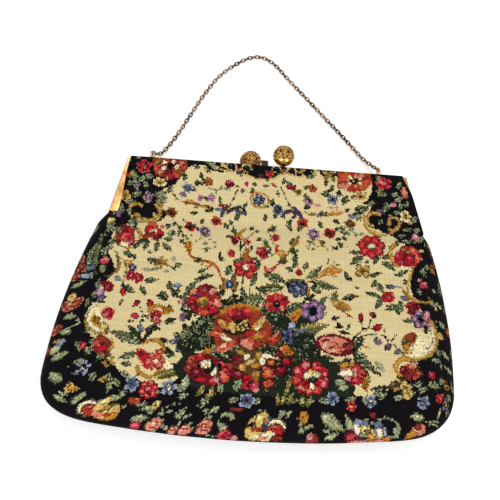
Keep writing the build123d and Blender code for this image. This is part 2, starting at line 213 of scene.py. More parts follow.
def front_height(x, y):
    """Outer face of the front: flat on the frame, then a crowned pouch down to the seam."""
    side = np.clip((edge_half_width(y) - np.abs(x)) / 38.0, 0, 1)
    foot = np.clip((y - (seam_corner - seam_sag * (1 - (x / 111.0) ** 2))) / 38.0, 0, 1)
    head = np.clip((pouch_top + 2.0 - y) / 46.0, 0, 1)
    crown = 5.2 * (1 - (1 - side) ** 4.35) * (1 - (1 - foot) ** 4.35) * (1 - (1 - head) ** 2.5)
    settle = (0.35 * np.sin(x / 17.0 + y / 31.0) * np.sin(y / 13.0 - x / 45.0)
              + 0.25 * np.sin(x / 9.0 - y / 21.0))
    pouch = seam_height(y) + crown + settle * smooth(side * 3) * smooth(foot * 3)
    dip = 0.4 * smooth((frame_side(y) - 9.0 - np.abs(x)) / 5) * smooth((31.5 - y) / 5) * smooth((y + 4) / 8)
    return pouch + (19.6 - pouch) * smooth((y + 5.0) / 10.0) - dip


def row_points(x, y, z):
    """Metres in the row frame from millimetres measured from the hinge."""
    return np.stack((x, y + hinge_row_y, z), -1).reshape(-1, 3) * 0.001
# Tapestry cloth: a fine machine tapestry on a cream ground. Flowers, scrolls and the dark border
# are worked stitch by stitch on a chart; every face of the cloth takes one stitch of the chart.
stitch = 0.62
chart_x = np.arange(-124.0, 124.0, stitch)
chart_y = np.arange(-121.0, 45.0, stitch)
front_chart = np.empty((len(chart_y), len(chart_x), 3))
band_s = np.arange(0.0, 470.0, stitch)
band_t = np.arange(0.0, 34.0, stitch)
band_chart = np.empty((len(band_t), len(band_s), 3))
sheet_on_loom = {"cells": front_chart, "x": chart_x, "y": chart_y, "place": None}
yarn_lot = np.random.default_rng(11)

cream, pale_cream, old_cream = shade("DBC894"), shade("EBDDB0"), shade("C4AC76")
night, ink = shade("0C080C"), shade("0A080A")
leaf_dark, leaf_mid = shade("12160E"), shade("2A3420")
leaf_light, leaf_pale = shade("5E6642"), shade("A4A880")
sage, moss = shade("868C68"), shade("62602A")
red, deep_red, rust, brick = shade("A91C28"), shade("68101C"), shade("92381E"), shade("782C22")
salmon, pink, rose, coral = shade("CE8066"), shade("C47F7E"), shade("B23A48"), shade("C04C36")
ochre, amber, straw, gold = shade("94601E"), shade("B87A2A"), shade("C8A862"), shade("A07C34")
slate, blue_grey, sky = shade("363C50"), shade("60697C"), shade("909AAA")
violet, plum = shade("6E5478"), shade("482C46")
lilac, brown = shade("A67F98"), shade("523820")


def around(x, y, reach):
    """Row and column slices of the chart round a place, and the cells' offsets from it."""
    columns, rows = sheet_on_loom["x"], sheet_on_loom["y"]
    left, right = np.searchsorted(columns, (x - reach, x + reach))
    low, high = np.searchsorted(rows, (y - reach, y + reach))
    across, up = np.meshgrid(columns[left:right] - x, rows[low:high] - y)
    return sheet_on_loom["cells"][low:high, left:right], across, up


def work(cells, where, colour):
    """Works the chosen cells in one yarn; each stitch of it is a little lighter or darker."""
    count = int(where.sum())
    if count:
        tone = yarn_lot.choice((0.45, 1.0, 1.35), (count, 1), p=(0.12, 0.78, 0.10))
        cells[where] = np.array(colour) * tone * (1 + yarn_lot.normal(0, 0.08, (count, 1)))


def dab(x, y, long, wide, turn, colour):
    """One petal or berry: an oval of yarn, with a dark outline where it is large enough."""
    cells, across, up = around(x, y, max(long, wide) + 1.5)
    ca, sa = math.cos(math.radians(turn)), math.sin(math.radians(turn))
    forward, aside = across * ca + up * sa, up * ca - across * sa
    if min(long, wide) > 1.25:
        outline_yarn = np.array(colour) * 0.16
        work(cells, (forward / (long + 0.42)) ** 2 + (aside / (wide + 0.42)) ** 2 <= 1, outline_yarn)
    work(cells, (forward / long) ** 2 + (aside / wide) ** 2 <= 1, colour)
    if min(long, wide) > 1.6:
        gleam = (forward / long + 0.25) ** 2 + (aside / wide - 0.35) ** 2 <= 0.14
        work(cells, gleam, np.minimum(np.array(colour) * 1.7 + 0.06, 0.8))


def bend_through(points, step=0.35):
    """Even points along a smooth line through the given places."""
    points = np.array(points, float)
    ends = np.concatenate((2 * points[:1] - points[1:2], points, 2 * points[-1:] - points[-2:-1]))
    run = []
    for a, b, c, d in zip(ends, ends[1:], ends[2:], ends[3:]):
        t = np.linspace(0, 1, max(3, int(np.hypot(*(c - b)) / step)), endpoint=False)[:, None]
        run.append(0.5 * (2 * b + (c - a) * t + (2 * a - 5 * b + 4 * c - d) * t ** 2
                          + (3 * b - a - 3 * c + d) * t ** 3))
    return np.concatenate(run + [points[-1:]])


def thread(points, width, colour, end_width=None):
    """A worked line, of even width or narrowing to end_width."""
    run = bend_through(points)
    widths = np.linspace(width, width if end_width is None else end_width, len(run)) / 2
    for (x, y), half in zip(run, widths):
        cells, across, up = around(x, y, half + 0.7)
        work(cells, across ** 2 + up ** 2 <= max(half, 0.33) ** 2, colour)


def patch(points, colour):
    """A filled field of one yarn inside an outline."""
    line = bend_through(list(points) + [points[0]], 0.8)
    columns, rows = np.meshgrid(sheet_on_loom["x"], sheet_on_loom["y"])
    inside = np.zeros(columns.shape, bool)
    for (x1, y1), (x2, y2) in zip(line, np.roll(line, -1, 0)):
        if y1 != y2:
            crossing = ((y1 > rows) != (y2 > rows)) & (columns < (x2 - x1) * (rows - y1) / (y2 - y1) + x1)
            inside ^= crossing
    work(sheet_on_loom["cells"], inside, colour)


def leaf(x, y, long, wide, turn, dark=leaf_dark, light=leaf_light, vein=leaf_pale):
    """A toothed leaf from its stalk: dark outline and midrib, pale blade with darker veins."""
    long, wide = long * 1.1 + 0.6, wide * 1.22 + 0.7
    cells, across, up = around(x + long / 2 * math.cos(math.radians(turn)),
                               y + long / 2 * math.sin(math.radians(turn)), long * 0.62 + 1)
    ca, sa = math.cos(math.radians(turn)), math.sin(math.radians(turn))
    along = (across * ca + up * sa) / long + 0.5
    aside = (up * ca - across * sa)
    inside = (along > 0) & (along < 1)
    teeth = 0.86 + 0.14 * np.sin(along * long * 3.2)
    half = wide / 2 * np.sin(np.pi * np.clip(along, 0, 1) ** 0.85) * teeth
    blade = inside & (np.abs(aside) < half - 0.5) & (along > 0.1)
    work(cells, inside & (np.abs(aside) < half), leaf_dark if dark is leaf_mid else dark)
    work(cells, blade, leaf_mid if light is leaf_mid else light)
    work(cells, blade & (aside > 0) & (np.sin(along * long * 2.3 - aside * 2) > 0.2), vein)
    work(cells, inside & (np.abs(aside) < 0.32) & (along < 0.8) & (wide > 2.6), dark)



def bloom(x, y, size, petals, rim, body, heart, eye=straw, turn=0.0, squash=1.0, depth=0.3):
    """An open flower: lobed petals with a dark line between them, lighter at the rim."""
    cells, across, up = around(x, y, size + 1)
    up = up / squash
    reach = np.hypot(across, up) / size
    angle = np.arctan2(up, across) - math.radians(turn)
    lobe = (1 - depth) + depth * np.abs(np.cos(angle * petals / 2)) ** 0.7
    inside = reach < lobe
    split = np.abs(np.sin(angle * petals / 2)) > 0.94
    work(cells, inside, body)
    work(cells, inside & (reach > lobe * 0.68), rim)
    work(cells, inside & (np.cos(angle * petals + 0.9) > 0.6) & (reach > 0.5) & (reach < 0.8), body)
    work(cells, inside & split & (reach > 0.34), heart)
    work(cells, inside & (reach < 0.52) & (np.cos(angle * petals) < 0.5), heart)
    work(cells, reach < 0.26, eye)
    if size > 3:
        work(cells, inside & split & (reach > 0.6), ink)
        work(cells, reach < 0.11, leaf_dark)



def curl(x, y, size, start, sweep, width, body=gold, light=straw, dark=brown):
    """A C scroll with a rolled end, in gold yarns with a dark side."""
    angles = np.radians(start + np.linspace(0, sweep, 24))
    radii = size * np.linspace(1.0, 0.42, 24)
    run = [(x + r * math.cos(a), y + r * math.sin(a)) for r, a in zip(radii, angles)]
    thread(run, width + 0.9, dark, width * 0.6 + 0.6)
    thread(run, width, body, width * 0.5)
    thread([(px + 0.25, py + 0.3) for px, py in run], width * 0.4, light, 0.4)
    dab(run[-1][0], run[-1][1], width * 0.8, width * 0.8, 0, body)


# Places on the two charts are chosen in the photo's 500 by 500 frame. These functions follow
# the line of sight to the cloth, so that a motif lands where the photo shows it.
photo_middle = 250
sight_scale = camera_data.lens / camera_data.sensor_width * 2 * photo_middle
lens_place = (aim + away * camera_distance) * 1000 - (0, hinge_row_y, 0)


def front_place(across, down):
    """Chart place in millimetres where a line of sight meets the front."""
    sight = ((across - photo_middle) / sight_scale * camera_right
             - (down - photo_middle) / sight_scale * camera_up - away)
    height = 20.0
    for _ in range(12):
        x, y, _ = lens_place + sight * (height - lens_place[2]) / sight[2]
        x -= lean(y, 1.0) if y < pouch_top else 0
        height = float(front_height(np.array(x), np.array(y)))
    return round(float(x), 1), round(float(y), 1)


sight_columns, sight_rows = 921, 41
sight_rolls, sight_shares, sight_width = strip_profile(sight_rows)
strip_length = 460.0
gusset_seen = np.empty((sight_rows, sight_columns, 2))
for row, (roll, share) in enumerate(zip(sight_rolls, sight_shares)):
    line, _ = outline(roll, sight_columns, 0.045)
    from_lens = np.stack((line[:, 0] + lean(line[:, 1], share), line[:, 1],
                         7.6 + share * (seam_height(line[:, 1]) - 7.6)), 1) - lens_place
    depth = -(from_lens @ away)
    gusset_seen[row, :, 0] = photo_middle + sight_scale * (from_lens @ camera_right) / depth
    gusset_seen[row, :, 1] = photo_middle - sight_scale * (from_lens @ camera_up) / depth
step_along = gusset_seen[:-1, 1:] - gusset_seen[:-1, :-1]
step_across = gusset_seen[1:, :-1] - gusset_seen[:-1, :-1]
faces_lens = step_along[..., 0] * step_across[..., 1] - step_along[..., 1] * step_across[..., 0] > 0
turned_away = np.where(np.pad(faces_lens, ((0, 1), (0, 1)), "edge"), 0, 50)


def gusset_place(across, down):
    """Chart place in millimetres of the gusset point that is seen nearest to a place."""
    miss = np.hypot(gusset_seen[..., 0] - across, gusset_seen[..., 1] - down) + turned_away
    row, column = np.unravel_index(miss.argmin(), miss.shape)
    return (round(column / (sight_columns - 1) * strip_length, 1),
            round((1 - row / (sight_rows - 1)) * sight_width, 1))


def mark(across, down):
    """Chart place in millimetres of one place in the photo's frame."""
    return sheet_on_loom["place"](across, down)


def marks(rows):
    """The same rows, with the place that each one starts with given in millimetres."""
    return [(*mark(*row[:2]), *row[2:]) for row in rows]


def dabs(rows):
    """A run of petals and berries: place, long, wide, turn and yarn of each."""
    for row in marks(rows):
        dab(*row)


def leaves(rows):
    """A run of leaves: place, long, wide, turn and yarns of each."""
    for row in marks(rows):
        leaf(*row)


def blooms(rows):
    """A run of open flowers: place, size, petal count and yarns of each."""
    for row in marks(rows):
        bloom(*row)


# The front is drawn first: its chart is on the loom, and its places are on the front.
sheet_on_loom["place"] = front_place

# Ground: cream, with a slightly uneven dye lot from row to row.
front_chart[:] = cream
front_chart *= 1 + yarn_lot.normal(0, 0.035, front_chart.shape[:2])[..., None]
front_chart *= 1 + yarn_lot.normal(0, 0.03, (front_chart.shape[0], 1, 1))

# Dark corner at the top left, closed by a pair of gold scrolls
patch(marks([(118, 148), (165, 150), (200, 154), (206, 164), (190, 167), (180, 178), (172, 186),
        (160, 192), (158, 204), (166, 214), (158, 222), (146, 221), (132, 222), (122, 226), (104, 236),
        (92, 228), (100, 205), (112, 180)]), night)
for x, y, turn in marks([(133, 157, 20), (139, 161, -60), (127, 163, 80), (131, 172, -50), (150, 158, 10),
        (126, 184, 15), (133, 190, 60), (143, 176, 0), (146, 190, 100), (137, 181, 35), (153, 192, -40),
        (125, 203, 20), (131, 198, 50), (115, 208, 60), (122, 214, 100), (118, 190, 70), (150, 200, -70),
        (146, 206, 80), (157, 197, -80), (110, 215, 40), (104, 222, 20), (126, 222, -10), (134, 214, -60),
        (146, 174, 150), (142, 196, 150)]):
    leaf(x, y, 6, 3, turn, leaf_mid, sage, leaf_pale)
bloom(*mark(143.5, 166.5), 4.6, 5, rose, red, deep_red, salmon, 20)
dabs([(125, 175, 2, 1.6, 0, red), (124, 174, 0.9, 0.7, 0, pink)])
leaf(*mark(129, 177), 4.4, 2.2, 60, moss, straw, cream)
bloom(*mark(137, 185), 1.9, 4, blue_grey, violet, slate, lilac)
dab(*mark(137, 190), 0.9, 0.8, 0, lilac)
blooms([
    (147.5, 197, 3.2, 4, lilac, violet, plum, straw, 10),
    (124.5, 196, 3.4, 5, straw, gold, moss, brown, 0),
    (159, 182.5, 4.4, 7, cream, straw, gold, brown, 0, 0.72)])
leaves([
    (166, 193, 7, 4, 200, leaf_dark, sage), (164, 196, 6, 3.4, 260, leaf_mid, sage),
    (172, 186, 5, 3, 240, leaf_dark, leaf_light)])

# Large orange-red flower under the rim, with cream petals round a dark heart
patch(marks([(152, 160), (160, 156), (172, 156), (184, 159), (187, 168), (182, 175), (172, 178),
        (160, 177), (154, 172)]), rust)
dabs([
    (158, 161, 2.4, 1.3, 30, ochre), (176, 161, 3, 1.2, -20, brick), (181, 165, 2.6, 1.1, 20, coral),
    (156, 167, 2.6, 1.2, -30, coral), (158, 173, 2.6, 1.2, -40, coral), (166, 176, 2.4, 1, -80, salmon),
    (172, 176, 2.6, 1, 80, coral), (178, 174, 2.6, 1.1, 50, coral), (163, 171, 2.2, 0.8, -60, deep_red),
    (169, 172, 2.2, 0.8, 90, deep_red), (175, 171, 2.6, 0.9, 50, red), (180, 170, 2.2, 0.8, 30, red),
    (164, 163, 1.8, 1.1, 20, pale_cream), (173, 162, 1.6, 1, -30, pale_cream),
    (163, 168, 1.6, 0.7, -20, pale_cream), (175, 166, 1.4, 0.7, 10, salmon),
    (169, 159, 2, 0.8, 0, ochre)])
for number in range(13):
    turn = number * 360 / 13
    ca, sa = math.cos(math.radians(turn)), math.sin(math.radians(turn))
    x, y = mark(169.5, 167)
    hue = (coral, salmon, brick, red, coral, ochre, salmon)[number % 7]
    dab(x + 6.6 * ca, y + 4.8 * sa, 3, 1.3, turn, hue)
    thread([(x + 2.6 * ca, y + 2 * sa), (x + 7.4 * ca, y + 5.4 * sa)], 0.6, deep_red if number % 2 else ink)
for x, y in marks([(164, 163), (173, 162), (163, 169), (176, 168)]):
    dab(x, y, 1.7, 1, 20, pale_cream)
dab(*mark(169.5, 166), 1.5, 1.9, 0, ink)
for x, y, turn in marks([(186, 160, 40), (192, 166, -20), (186, 174, 250), (196, 162, 60)]):
    leaf(x, y, 4.2, 2.4, turn, leaf_dark, leaf_light)

# Gold scrolls at the foot of the corner
curl(*mark(137, 212), 5.6, 190, -290, 1.7)
curl(*mark(151, 211), 7.2, -130, 250, 2.3)
patch(marks([(138, 212), (144, 205), (152, 204), (156, 210), (150, 216), (142, 217)]), ink)
thread(marks([(128, 213), (134, 220), (146, 221.5), (156, 217), (161, 209), (159, 203)]), 2, gold, 1.4)
thread(marks([(129, 214), (136, 220), (147, 221), (156, 216)]), 0.8, straw)
leaf(*mark(128, 207), 5.5, 2.8, 280, leaf_mid, sage, pale_cream)
dabs([
    (110, 221, 1.9, 1.9, 0, straw), (105, 213, 2, 1.4, 30, deep_red), (107, 209, 1.4, 0.9, 30, pink),
    (118, 213, 1.6, 2.4, 10, violet)])

# Scalloped dark border under the rim, with beige rings and red flowers at the clasp
patch(marks([(196, 152), (340, 158), (345, 176), (322, 176), (318, 171), (306, 175), (296, 177),
        (282, 174), (276, 178), (262, 180), (250, 177), (240, 173), (232, 171), (226, 173), (214, 172),
        (205, 167)]), night)
thread(marks([(205, 158), (216, 168), (226, 172), (236, 172), (246, 176), (262, 180.5), (276, 178),
        (286, 173), (296, 177), (306, 174.5), (316, 170)]), 1.1, straw)
for x, y, size in marks([(231, 167, 3.4), (246.5, 168.5, 3.2), (276.5, 170, 3), (291, 171.5, 3.2),
        (217, 164, 2.8)]):
    dab(x, y, size, size * 0.86, -20, old_cream)
    dab(x, y, size * 0.62, size * 0.56, -20, night)
    dab(x + size * 0.5, y - size * 0.6, 0.9, 0.8, 0, night)
dabs([(223, 165, 3.4, 1, -50, straw), (212, 166, 4.2, 1.1, -50, sage), (206, 161, 2.6, 1, -30, moss)])
for x, y, turn in marks([(198, 160, 20), (204, 168, -50), (310, 171, 10), (321, 172, 30),
        (328, 171, -40)]):
    leaf(x, y, 4.4, 2.2, turn, leaf_dark, straw, cream)
dabs([
    (237, 171, 1.8, 0.9, 10, salmon), (284, 174, 1.8, 0.9, -10, salmon), (283, 170, 0.9, 0.7, 0, coral),
    (265, 163, 1.2, 1.8, 0, brick)])
bloom(*mark(268.5, 175), 2.7, 5, coral, red, deep_red, rose)
dabs([(260.5, 176.5, 1.7, 1.3, 0, plum), (302, 171, 3, 1, 35, gold), (308, 174, 2.6, 1, 20, ink)])
leaf(*mark(316, 175), 6.2, 2.2, 200, leaf_mid, sage)
for x, y, colour in marks([(324, 171, straw), (329, 175, gold), (334, 170, straw), (326, 178, ochre),
        (333, 180, moss)]):
    bloom(x, y, 1.9, 5, colour, gold, moss, brown)

# Orange-red chrysanthemum under the rim at the right, its streaked petals lit with yellow
patch(marks([(337, 171), (352, 169), (368, 172), (371, 182), (366, 190), (356, 193), (344, 190),
        (337, 184)]), rust)
for number in range(14):
    turn = number * 360 / 14
    ca, sa = math.cos(math.radians(turn)), math.sin(math.radians(turn))
    x, y = mark(353.5, 181)
    hue = (coral, brick, salmon, rust, red, ochre, coral)[number % 7]
    dab(x + 6.3 * ca, y + 4.4 * sa, 3.6, 1.15, turn, hue)
    if number % 2:
        dab(x + 3.4 * ca, y + 2.6 * sa, 1.9, 0.55, turn, pale_cream if number % 4 == 1 else straw)
dabs([
    (354, 181.5, 1.9, 1.5, 0, leaf_dark), (353, 181, 0.8, 0.6, 0, straw),
    (341, 186, 2.4, 1.6, 20, salmon)])

# Dark corner at the top right, with its gold scroll, stars and buds
patch(marks([(369, 165), (412, 168), (416, 200), (430, 236), (428, 262), (414, 252), (402, 244),
        (392, 237), (380, 232), (369, 226), (366, 216), (371, 207), (362, 203), (371, 192)]), night)
for x, y, turn in marks([(394, 174, 10), (374, 176, -30), (397, 190, 70), (389, 196, 20), (377, 196, 10),
        (382, 204, -20), (395, 203, 50), (399, 212, 80), (404, 209, 70), (391, 214, 10), (387, 222, 60),
        (397, 224, 40), (402, 231, 10), (408, 238, -30), (396, 238, 20), (376, 203, 190), (406, 200, 100),
        (411, 224, 60), (418, 244, 60), (386, 188, 200), (401, 242, 0), (412, 232, 20), (368, 206, 230),
        (366, 212, 190), (390, 208, 200)]):
    leaf(x, y, 5.4, 2.6, turn, leaf_mid, sage, leaf_pale)
bloom(*mark(383, 184), 5.2, 5, rose, red, deep_red, salmon, 30, 0.85)
dabs([
    (380, 182, 1.3, 1, 0, salmon), (404, 193, 1.6, 3.2, 10, salmon), (404, 197, 1, 1.4, 10, coral),
    (392, 206, 2.2, 1.2, 10, pink), (396, 203, 1.8, 0.8, 0, violet), (378, 212, 3, 1.1, 20, violet),
    (374, 215, 2.2, 0.9, 30, brick), (382, 213, 2, 0.8, -20, plum)])
leaf(*mark(383, 196), 4.6, 2.4, 150, moss, leaf_light)
bloom(*mark(360, 197), 5.2, 8, cream, straw, gold, brown, 10, 0.72)
dab(*mark(352, 197), 2, 1, 10, moss)
curl(*mark(374, 222), 6, 60, 250, 1.9)
curl(*mark(392, 223), 5.2, -110, 300, 1.7)
thread(marks([(364, 218), (365, 227), (372, 234), (381, 236), (391, 233), (398, 226)]), 2.1, gold, 1.4)
thread(marks([(365, 219), (367, 227), (373, 232), (382, 234)]), 0.9, straw)
patch(marks([(371, 219), (380, 218), (386, 222), (383, 229), (374, 228)]), ink)
leaf(*mark(379, 226), 4, 2.6, 70, leaf_mid, sage, leaf_pale)
bloom(*mark(405, 217), 3.4, 5, pale_cream, straw, gold, brown, 0, 1.2)
dabs([(409, 223, 1.6, 1.1, -40, straw), (415, 238, 2.2, 1.7, -40, pink)])
leaves([
    (346, 196, 6, 3.6, 250, leaf_dark, leaf_mid), (340, 190, 4.6, 2.6, 250, leaf_dark, leaf_mid),
    (366, 208, 7, 4.2, 200, leaf_dark, leaf_light), (360, 214, 4.4, 2.6, 250, leaf_mid, leaf_light)])

def petal_flower(x, y, size, count, body, deep, light, eye, turn=0, squash=0.9):
    """A cut flower of separate round petals, each with a lit side, round a small eye."""
    for number in range(count):
        angle = turn + number * 360 / count
        ca, sa = math.cos(math.radians(angle)), math.sin(math.radians(angle))
        dab(x + size * 0.6 * ca, y + size * 0.6 * sa * squash, size * 0.44, size * 0.36, angle, body)
        dab(x + size * 0.72 * ca, y + size * 0.72 * sa * squash, size * 0.2, size * 0.14, angle + 90, light)
        dab(x + size * 0.3 * ca, y + size * 0.3 * sa * squash, size * 0.2, size * 0.1, angle, deep)
    dab(x, y, size * 0.26, size * 0.22, 0, eye)


def vine(points, size, gap, dark=leaf_mid, light=sage, wide=0.5):
    """A fine stalk with leaves on both sides, each set forward at an angle."""
    thread(points, 0.55, dark)
    run = bend_through(points)
    steps = max(1, int(gap / 0.35))
    for number, place in enumerate(range(steps, len(run) - 1, steps)):
        way = run[min(place + 2, len(run) - 1)] - run[place - 2]
        heading = math.degrees(math.atan2(way[1], way[0])) + (50 if number % 2 else -50)
        leaf(run[place][0], run[place][1], size, size * wide, heading, dark, light, light)


# Garlands hung from the clasp: small flowers and buds on fine stalks, left side
vine(marks([(168, 190), (176, 198), (184, 204), (196, 205)]), 2.6, 6)
vine(marks([(186, 188), (196, 186), (204, 178)]), 3.6, 3, leaf_mid, leaf_light)
vine(marks([(208, 190), (220, 190), (228, 186)]), 2.6, 3.4, moss, sage)
vine(marks([(198, 200), (206, 197), (214, 198)]), 2.4, 3.6)
for x, y, size, count, one, two, three, eye in marks([(187, 188, 3.6, 6, blue_grey, sky, slate, straw),
        (208, 182, 3, 5, rust, brick, ochre, ink), (239.6, 210.4, 3.4, 6, slate, blue_grey, ink, straw),
        (277.5, 210, 3.4, 6, slate, blue_grey, ink, straw),
        (171, 213, 3.4, 4, brown, ochre, deep_red, ink),
        (215.5, 221.5, 3.6, 5, rust, coral, deep_red, ink), (189.6, 227, 3.6, 4, deep_red, red, ink, ink),
        (204.4, 231.8, 3.8, 7, violet, lilac, plum, straw),
        (211, 198, 2.6, 5, pink, lilac, violet, straw), (200, 198, 2, 5, lilac, pink, violet, leaf_mid),
        (182, 195, 2, 5, lilac, violet, plum, sage), (312, 189, 3, 5, rust, brick, ochre, ink),
        (308, 202, 3, 5, pink, violet, plum, straw), (332, 200, 3.6, 6, sky, blue_grey, slate, slate),
        (302, 223.5, 3.8, 5, rust, coral, brick, ink), (312.6, 234.9, 4.2, 7, violet, lilac, plum, cream),
        (329, 234, 3.8, 4, deep_red, red, brick, ink),
        (349.8, 224.7, 3.6, 4, brown, gold, deep_red, moss),
        (298, 193, 2.2, 4, moss, gold, leaf_mid, brown), (154, 215, 1.4, 4, straw, cream, gold, moss)]):
    bloom(x, y, size, count, two, one, three, eye, size * 31)
dabs([
    (229, 184, 2.2, 2, 0, deep_red), (231, 182, 1.2, 0.8, 20, red), (246, 184, 1.5, 1.1, 40, red),
    (237.5, 186.5, 1.1, 0.9, 0, deep_red), (273.5, 186, 1.6, 1.1, -30, red),
    (290.5, 188, 2.6, 2, -20, deep_red), (288, 187, 1.2, 0.8, 0, red), (281, 188, 1.1, 0.8, 0, brick),
    (236, 193, 1, 0.8, 60, brick), (233.5, 199, 1, 0.8, 60, brick),
    (230, 205, 0.9, 0.7, 60, deep_red), (283.5, 194, 0.9, 0.8, 0, deep_red),
    (286, 200, 0.9, 0.8, 0, plum), (288.5, 205, 0.9, 0.8, 0, deep_red),
    (317.5, 205.5, 2.2, 1, -10, pink), (330, 208, 2, 0.9, -10, pink), (336, 208, 1.4, 0.7, 20, pink),
    (307, 203, 1.2, 0.8, 0, lilac)])
thread(marks([(237, 190), (234, 197), (230, 204), (226, 208)]), 0.5, brown)
thread(marks([(282, 190), (285, 198), (288, 204), (291, 210)]), 0.5, brown)
for x, y, turn, long in marks([(237, 176, 80, 3.4), (241, 178, 100, 3), (281, 176, 90, 4.6),
        (284, 178, 260, 4.8), (286, 182, -50, 3.2), (251, 185, 10, 3.4), (243, 189, 250, 3),
        (269, 187, 180, 3.4), (276, 191, 300, 3.2), (268, 183, 130, 2.6), (250, 188, 320, 2.6)]):
    leaf(x, y, long, 1.5, turn, leaf_mid, leaf_light, sage)
# Blue flower in an orange ring under the clasp
for start in range(0, 360, 12):
    ca, sa = math.cos(math.radians(start)), math.sin(math.radians(start))
    x, y = mark(259, 200)
    if abs(ca) > 0.25 or start % 24:
        dab(x + 5.4 * ca, y + 4.6 * sa, 1, 0.75, start + 90, amber if sa > -0.2 else gold)
dabs([(251, 193, 1.6, 0.8, 20, brown), (267, 207, 1.4, 0.8, 20, moss)])
bloom(*mark(258.5, 200.5), 3.9, 7, slate, blue_grey, ink, sky, 12)
# Orange-gold leaf and the brown-grey knots of the garland
patch(marks([(182, 204), (185, 200), (192, 200), (200, 205), (212, 207.5), (205, 209), (194, 206),
        (186, 205.5)]), amber)
thread(marks([(184, 203), (196, 205), (212, 207.5)]), 0.8, brown)
dab(*mark(190, 201.5), 1.8, 0.7, -10, straw)
for x, y, turn, colour in marks([(222, 206, 10, brick), (218, 210, 0, blue_grey), (225, 210, -20, brown),
        (229, 212, 30, plum), (222, 214, 60, slate), (227, 207, 150, brown), (291, 212, 0, brown),
        (287, 212, 30, plum), (295, 210, -30, slate), (297, 214, 10, brown), (294, 216, 60, plum),
        (300, 216, -40, slate), (354, 215, 20, slate), (351, 217, -30, blue_grey), (357, 217, 20, sage)]):
    dab(x, y, 2.6, 1.1, turn, colour)
for x, y, turn, long in marks([(197, 213, 190, 4), (205, 211, 10, 4.4), (203, 219, 240, 3.4),
        (220, 204, 100, 4), (228, 220, 310, 4.6), (231, 209, 0, 3.6), (237, 216, 250, 2.8),
        (243, 208, 60, 3.4), (246, 212, 240, 2.4), (236, 214, 300, 2.4), (274, 206, 120, 3.2),
        (281, 214, 300, 3.4), (276, 214, 250, 2.6), (270, 205, 60, 3), (290, 221, 250, 3.6),
        (224, 223, 300, 4.6), (303, 209, 20, 4), (318, 213, 340, 4.2), (318, 222, 300, 4.2),
        (332, 221, 340, 4), (330, 213, 200, 3), (343, 212, 20, 3.6), (323, 193, 20, 3.6),
        (328, 197, 160, 4), (344, 203, 30, 3.4), (303, 197, 330, 3.4), (304, 190, 60, 2.8),
        (305, 200, 90, 3.2), (345, 228, 200, 3.6), (334, 231, 30, 3), (320, 241, 330, 2.6),
        (360, 212, 200, 3.4), (326, 180, 260, 3.6), (333, 184, 250, 5)]):
    leaf(x, y, long, 2, turn, leaf_mid, leaf_light, sage)
patch(marks([(326, 215), (333, 211), (341, 211), (343, 213), (337, 216), (330, 217)]), amber)
dabs([(337, 212, 2, 0.7, 15, straw), (312, 215, 3.2, 1, 10, ochre), (317, 216, 1.6, 0.9, -10, sky)])
thread(marks([(303, 212), (312, 216), (322, 217), (331, 216)]), 0.7, moss)
# Dotted fern sprays hanging from the garlands
for x, y in marks([(178, 236), (180, 241), (205, 236), (209, 240), (204, 244), (209, 248), (214, 243),
        (200, 240), (196, 242), (214, 247), (205, 249), (308, 242), (306, 247), (313, 244), (317, 247),
        (313, 250), (322, 246), (326, 250), (320, 243), (328, 260), (334, 262), (337, 265), (327, 263),
        (187, 239), (191, 236), (341, 244), (346, 247), (337, 240)]):
    dab(x, y, 0.9, 0.7, 30, moss)
thread(marks([(200, 237), (206, 243), (208, 249)]), 0.45, moss)
thread(marks([(314, 238), (310, 244), (308, 249)]), 0.45, moss)
thread(marks([(318, 240), (323, 246), (330, 251)]), 0.45, ochre)
vine(marks([(172, 218), (177, 226), (182, 236), (183, 245)]), 2.4, 3.2, leaf_mid, leaf_light)
vine(marks([(182, 220), (192, 226), (200, 230)]), 2.2, 3.4, leaf_mid, leaf_light)
vine(marks([(349, 229), (343, 236), (338, 244), (337, 250)]), 3.2, 3, leaf_mid, leaf_light)
vine(marks([(340, 232), (352, 232), (360, 236)]), 2.8, 3, sage, leaf_light)
vine(marks([(170, 228), (168, 236), (174, 232)]), 2.2, 3, sage, leaf_light)

# Upper left: rose in an orange ring against the border, and a red flower with leaf sprays
curl(*mark(128, 240), 8.4, 60, -230, 1.7, amber, straw, ochre)
patch(marks([(114, 229), (124, 225), (133, 229), (134, 238), (131, 246), (122, 247), (116, 241)]), brick)
dabs([
    (116, 239, 2.6, 1.9, 60, rust), (120, 229, 2.6, 1.6, 20, brick), (129, 230, 2.4, 1.5, -30, red),
    (126, 236, 3.2, 2.6, 0, red), (119, 243, 1.8, 1.4, 40, deep_red), (124, 240, 2.4, 1.5, -20, coral),
    (132, 240, 1.4, 2.2, 0, rose), (124, 244.5, 2.8, 1.5, 0, pale_cream), (129, 243, 1.6, 1.2, 30, pink),
    (122, 237, 1.4, 0.7, 40, salmon), (128, 234, 1.6, 0.6, -20, coral), (148, 229, 3, 1.5, 60, red),
    (154, 227, 2.6, 1.4, 90, coral), (160, 233, 2.6, 1.6, 120, red), (147, 236, 2.4, 1.4, 30, rust),
    (150, 224, 1.8, 1, 80, coral), (157, 238, 2.6, 1.8, 40, deep_red), (153, 235, 1.9, 1.4, 0, red),
    (155, 231, 1.2, 0.9, 0, pale_cream), (162, 227, 1.4, 1.1, 0, coral), (151, 231, 1.1, 0.8, 0, salmon),
    (160, 237, 1.1, 0.9, 0, ink)])
for x, y, turn, long in marks([(136, 241, 0, 6.2), (141, 243, 215, 6.4), (148, 240, 250, 6.6),
        (150, 250, 265, 2), (158, 242, 255, 5.6), (161, 242, -45, 8), (163, 240, 10, 5),
        (166, 229, 60, 3.4), (133, 224, 80, 4), (133, 230, 80, 2.6), (170, 234, 40, 3),
        (122, 251, -30, 7), (132, 257, -10, 1.6)]):
    leaf(x, y, long, 2.7, turn, leaf_mid, leaf_light, sage)
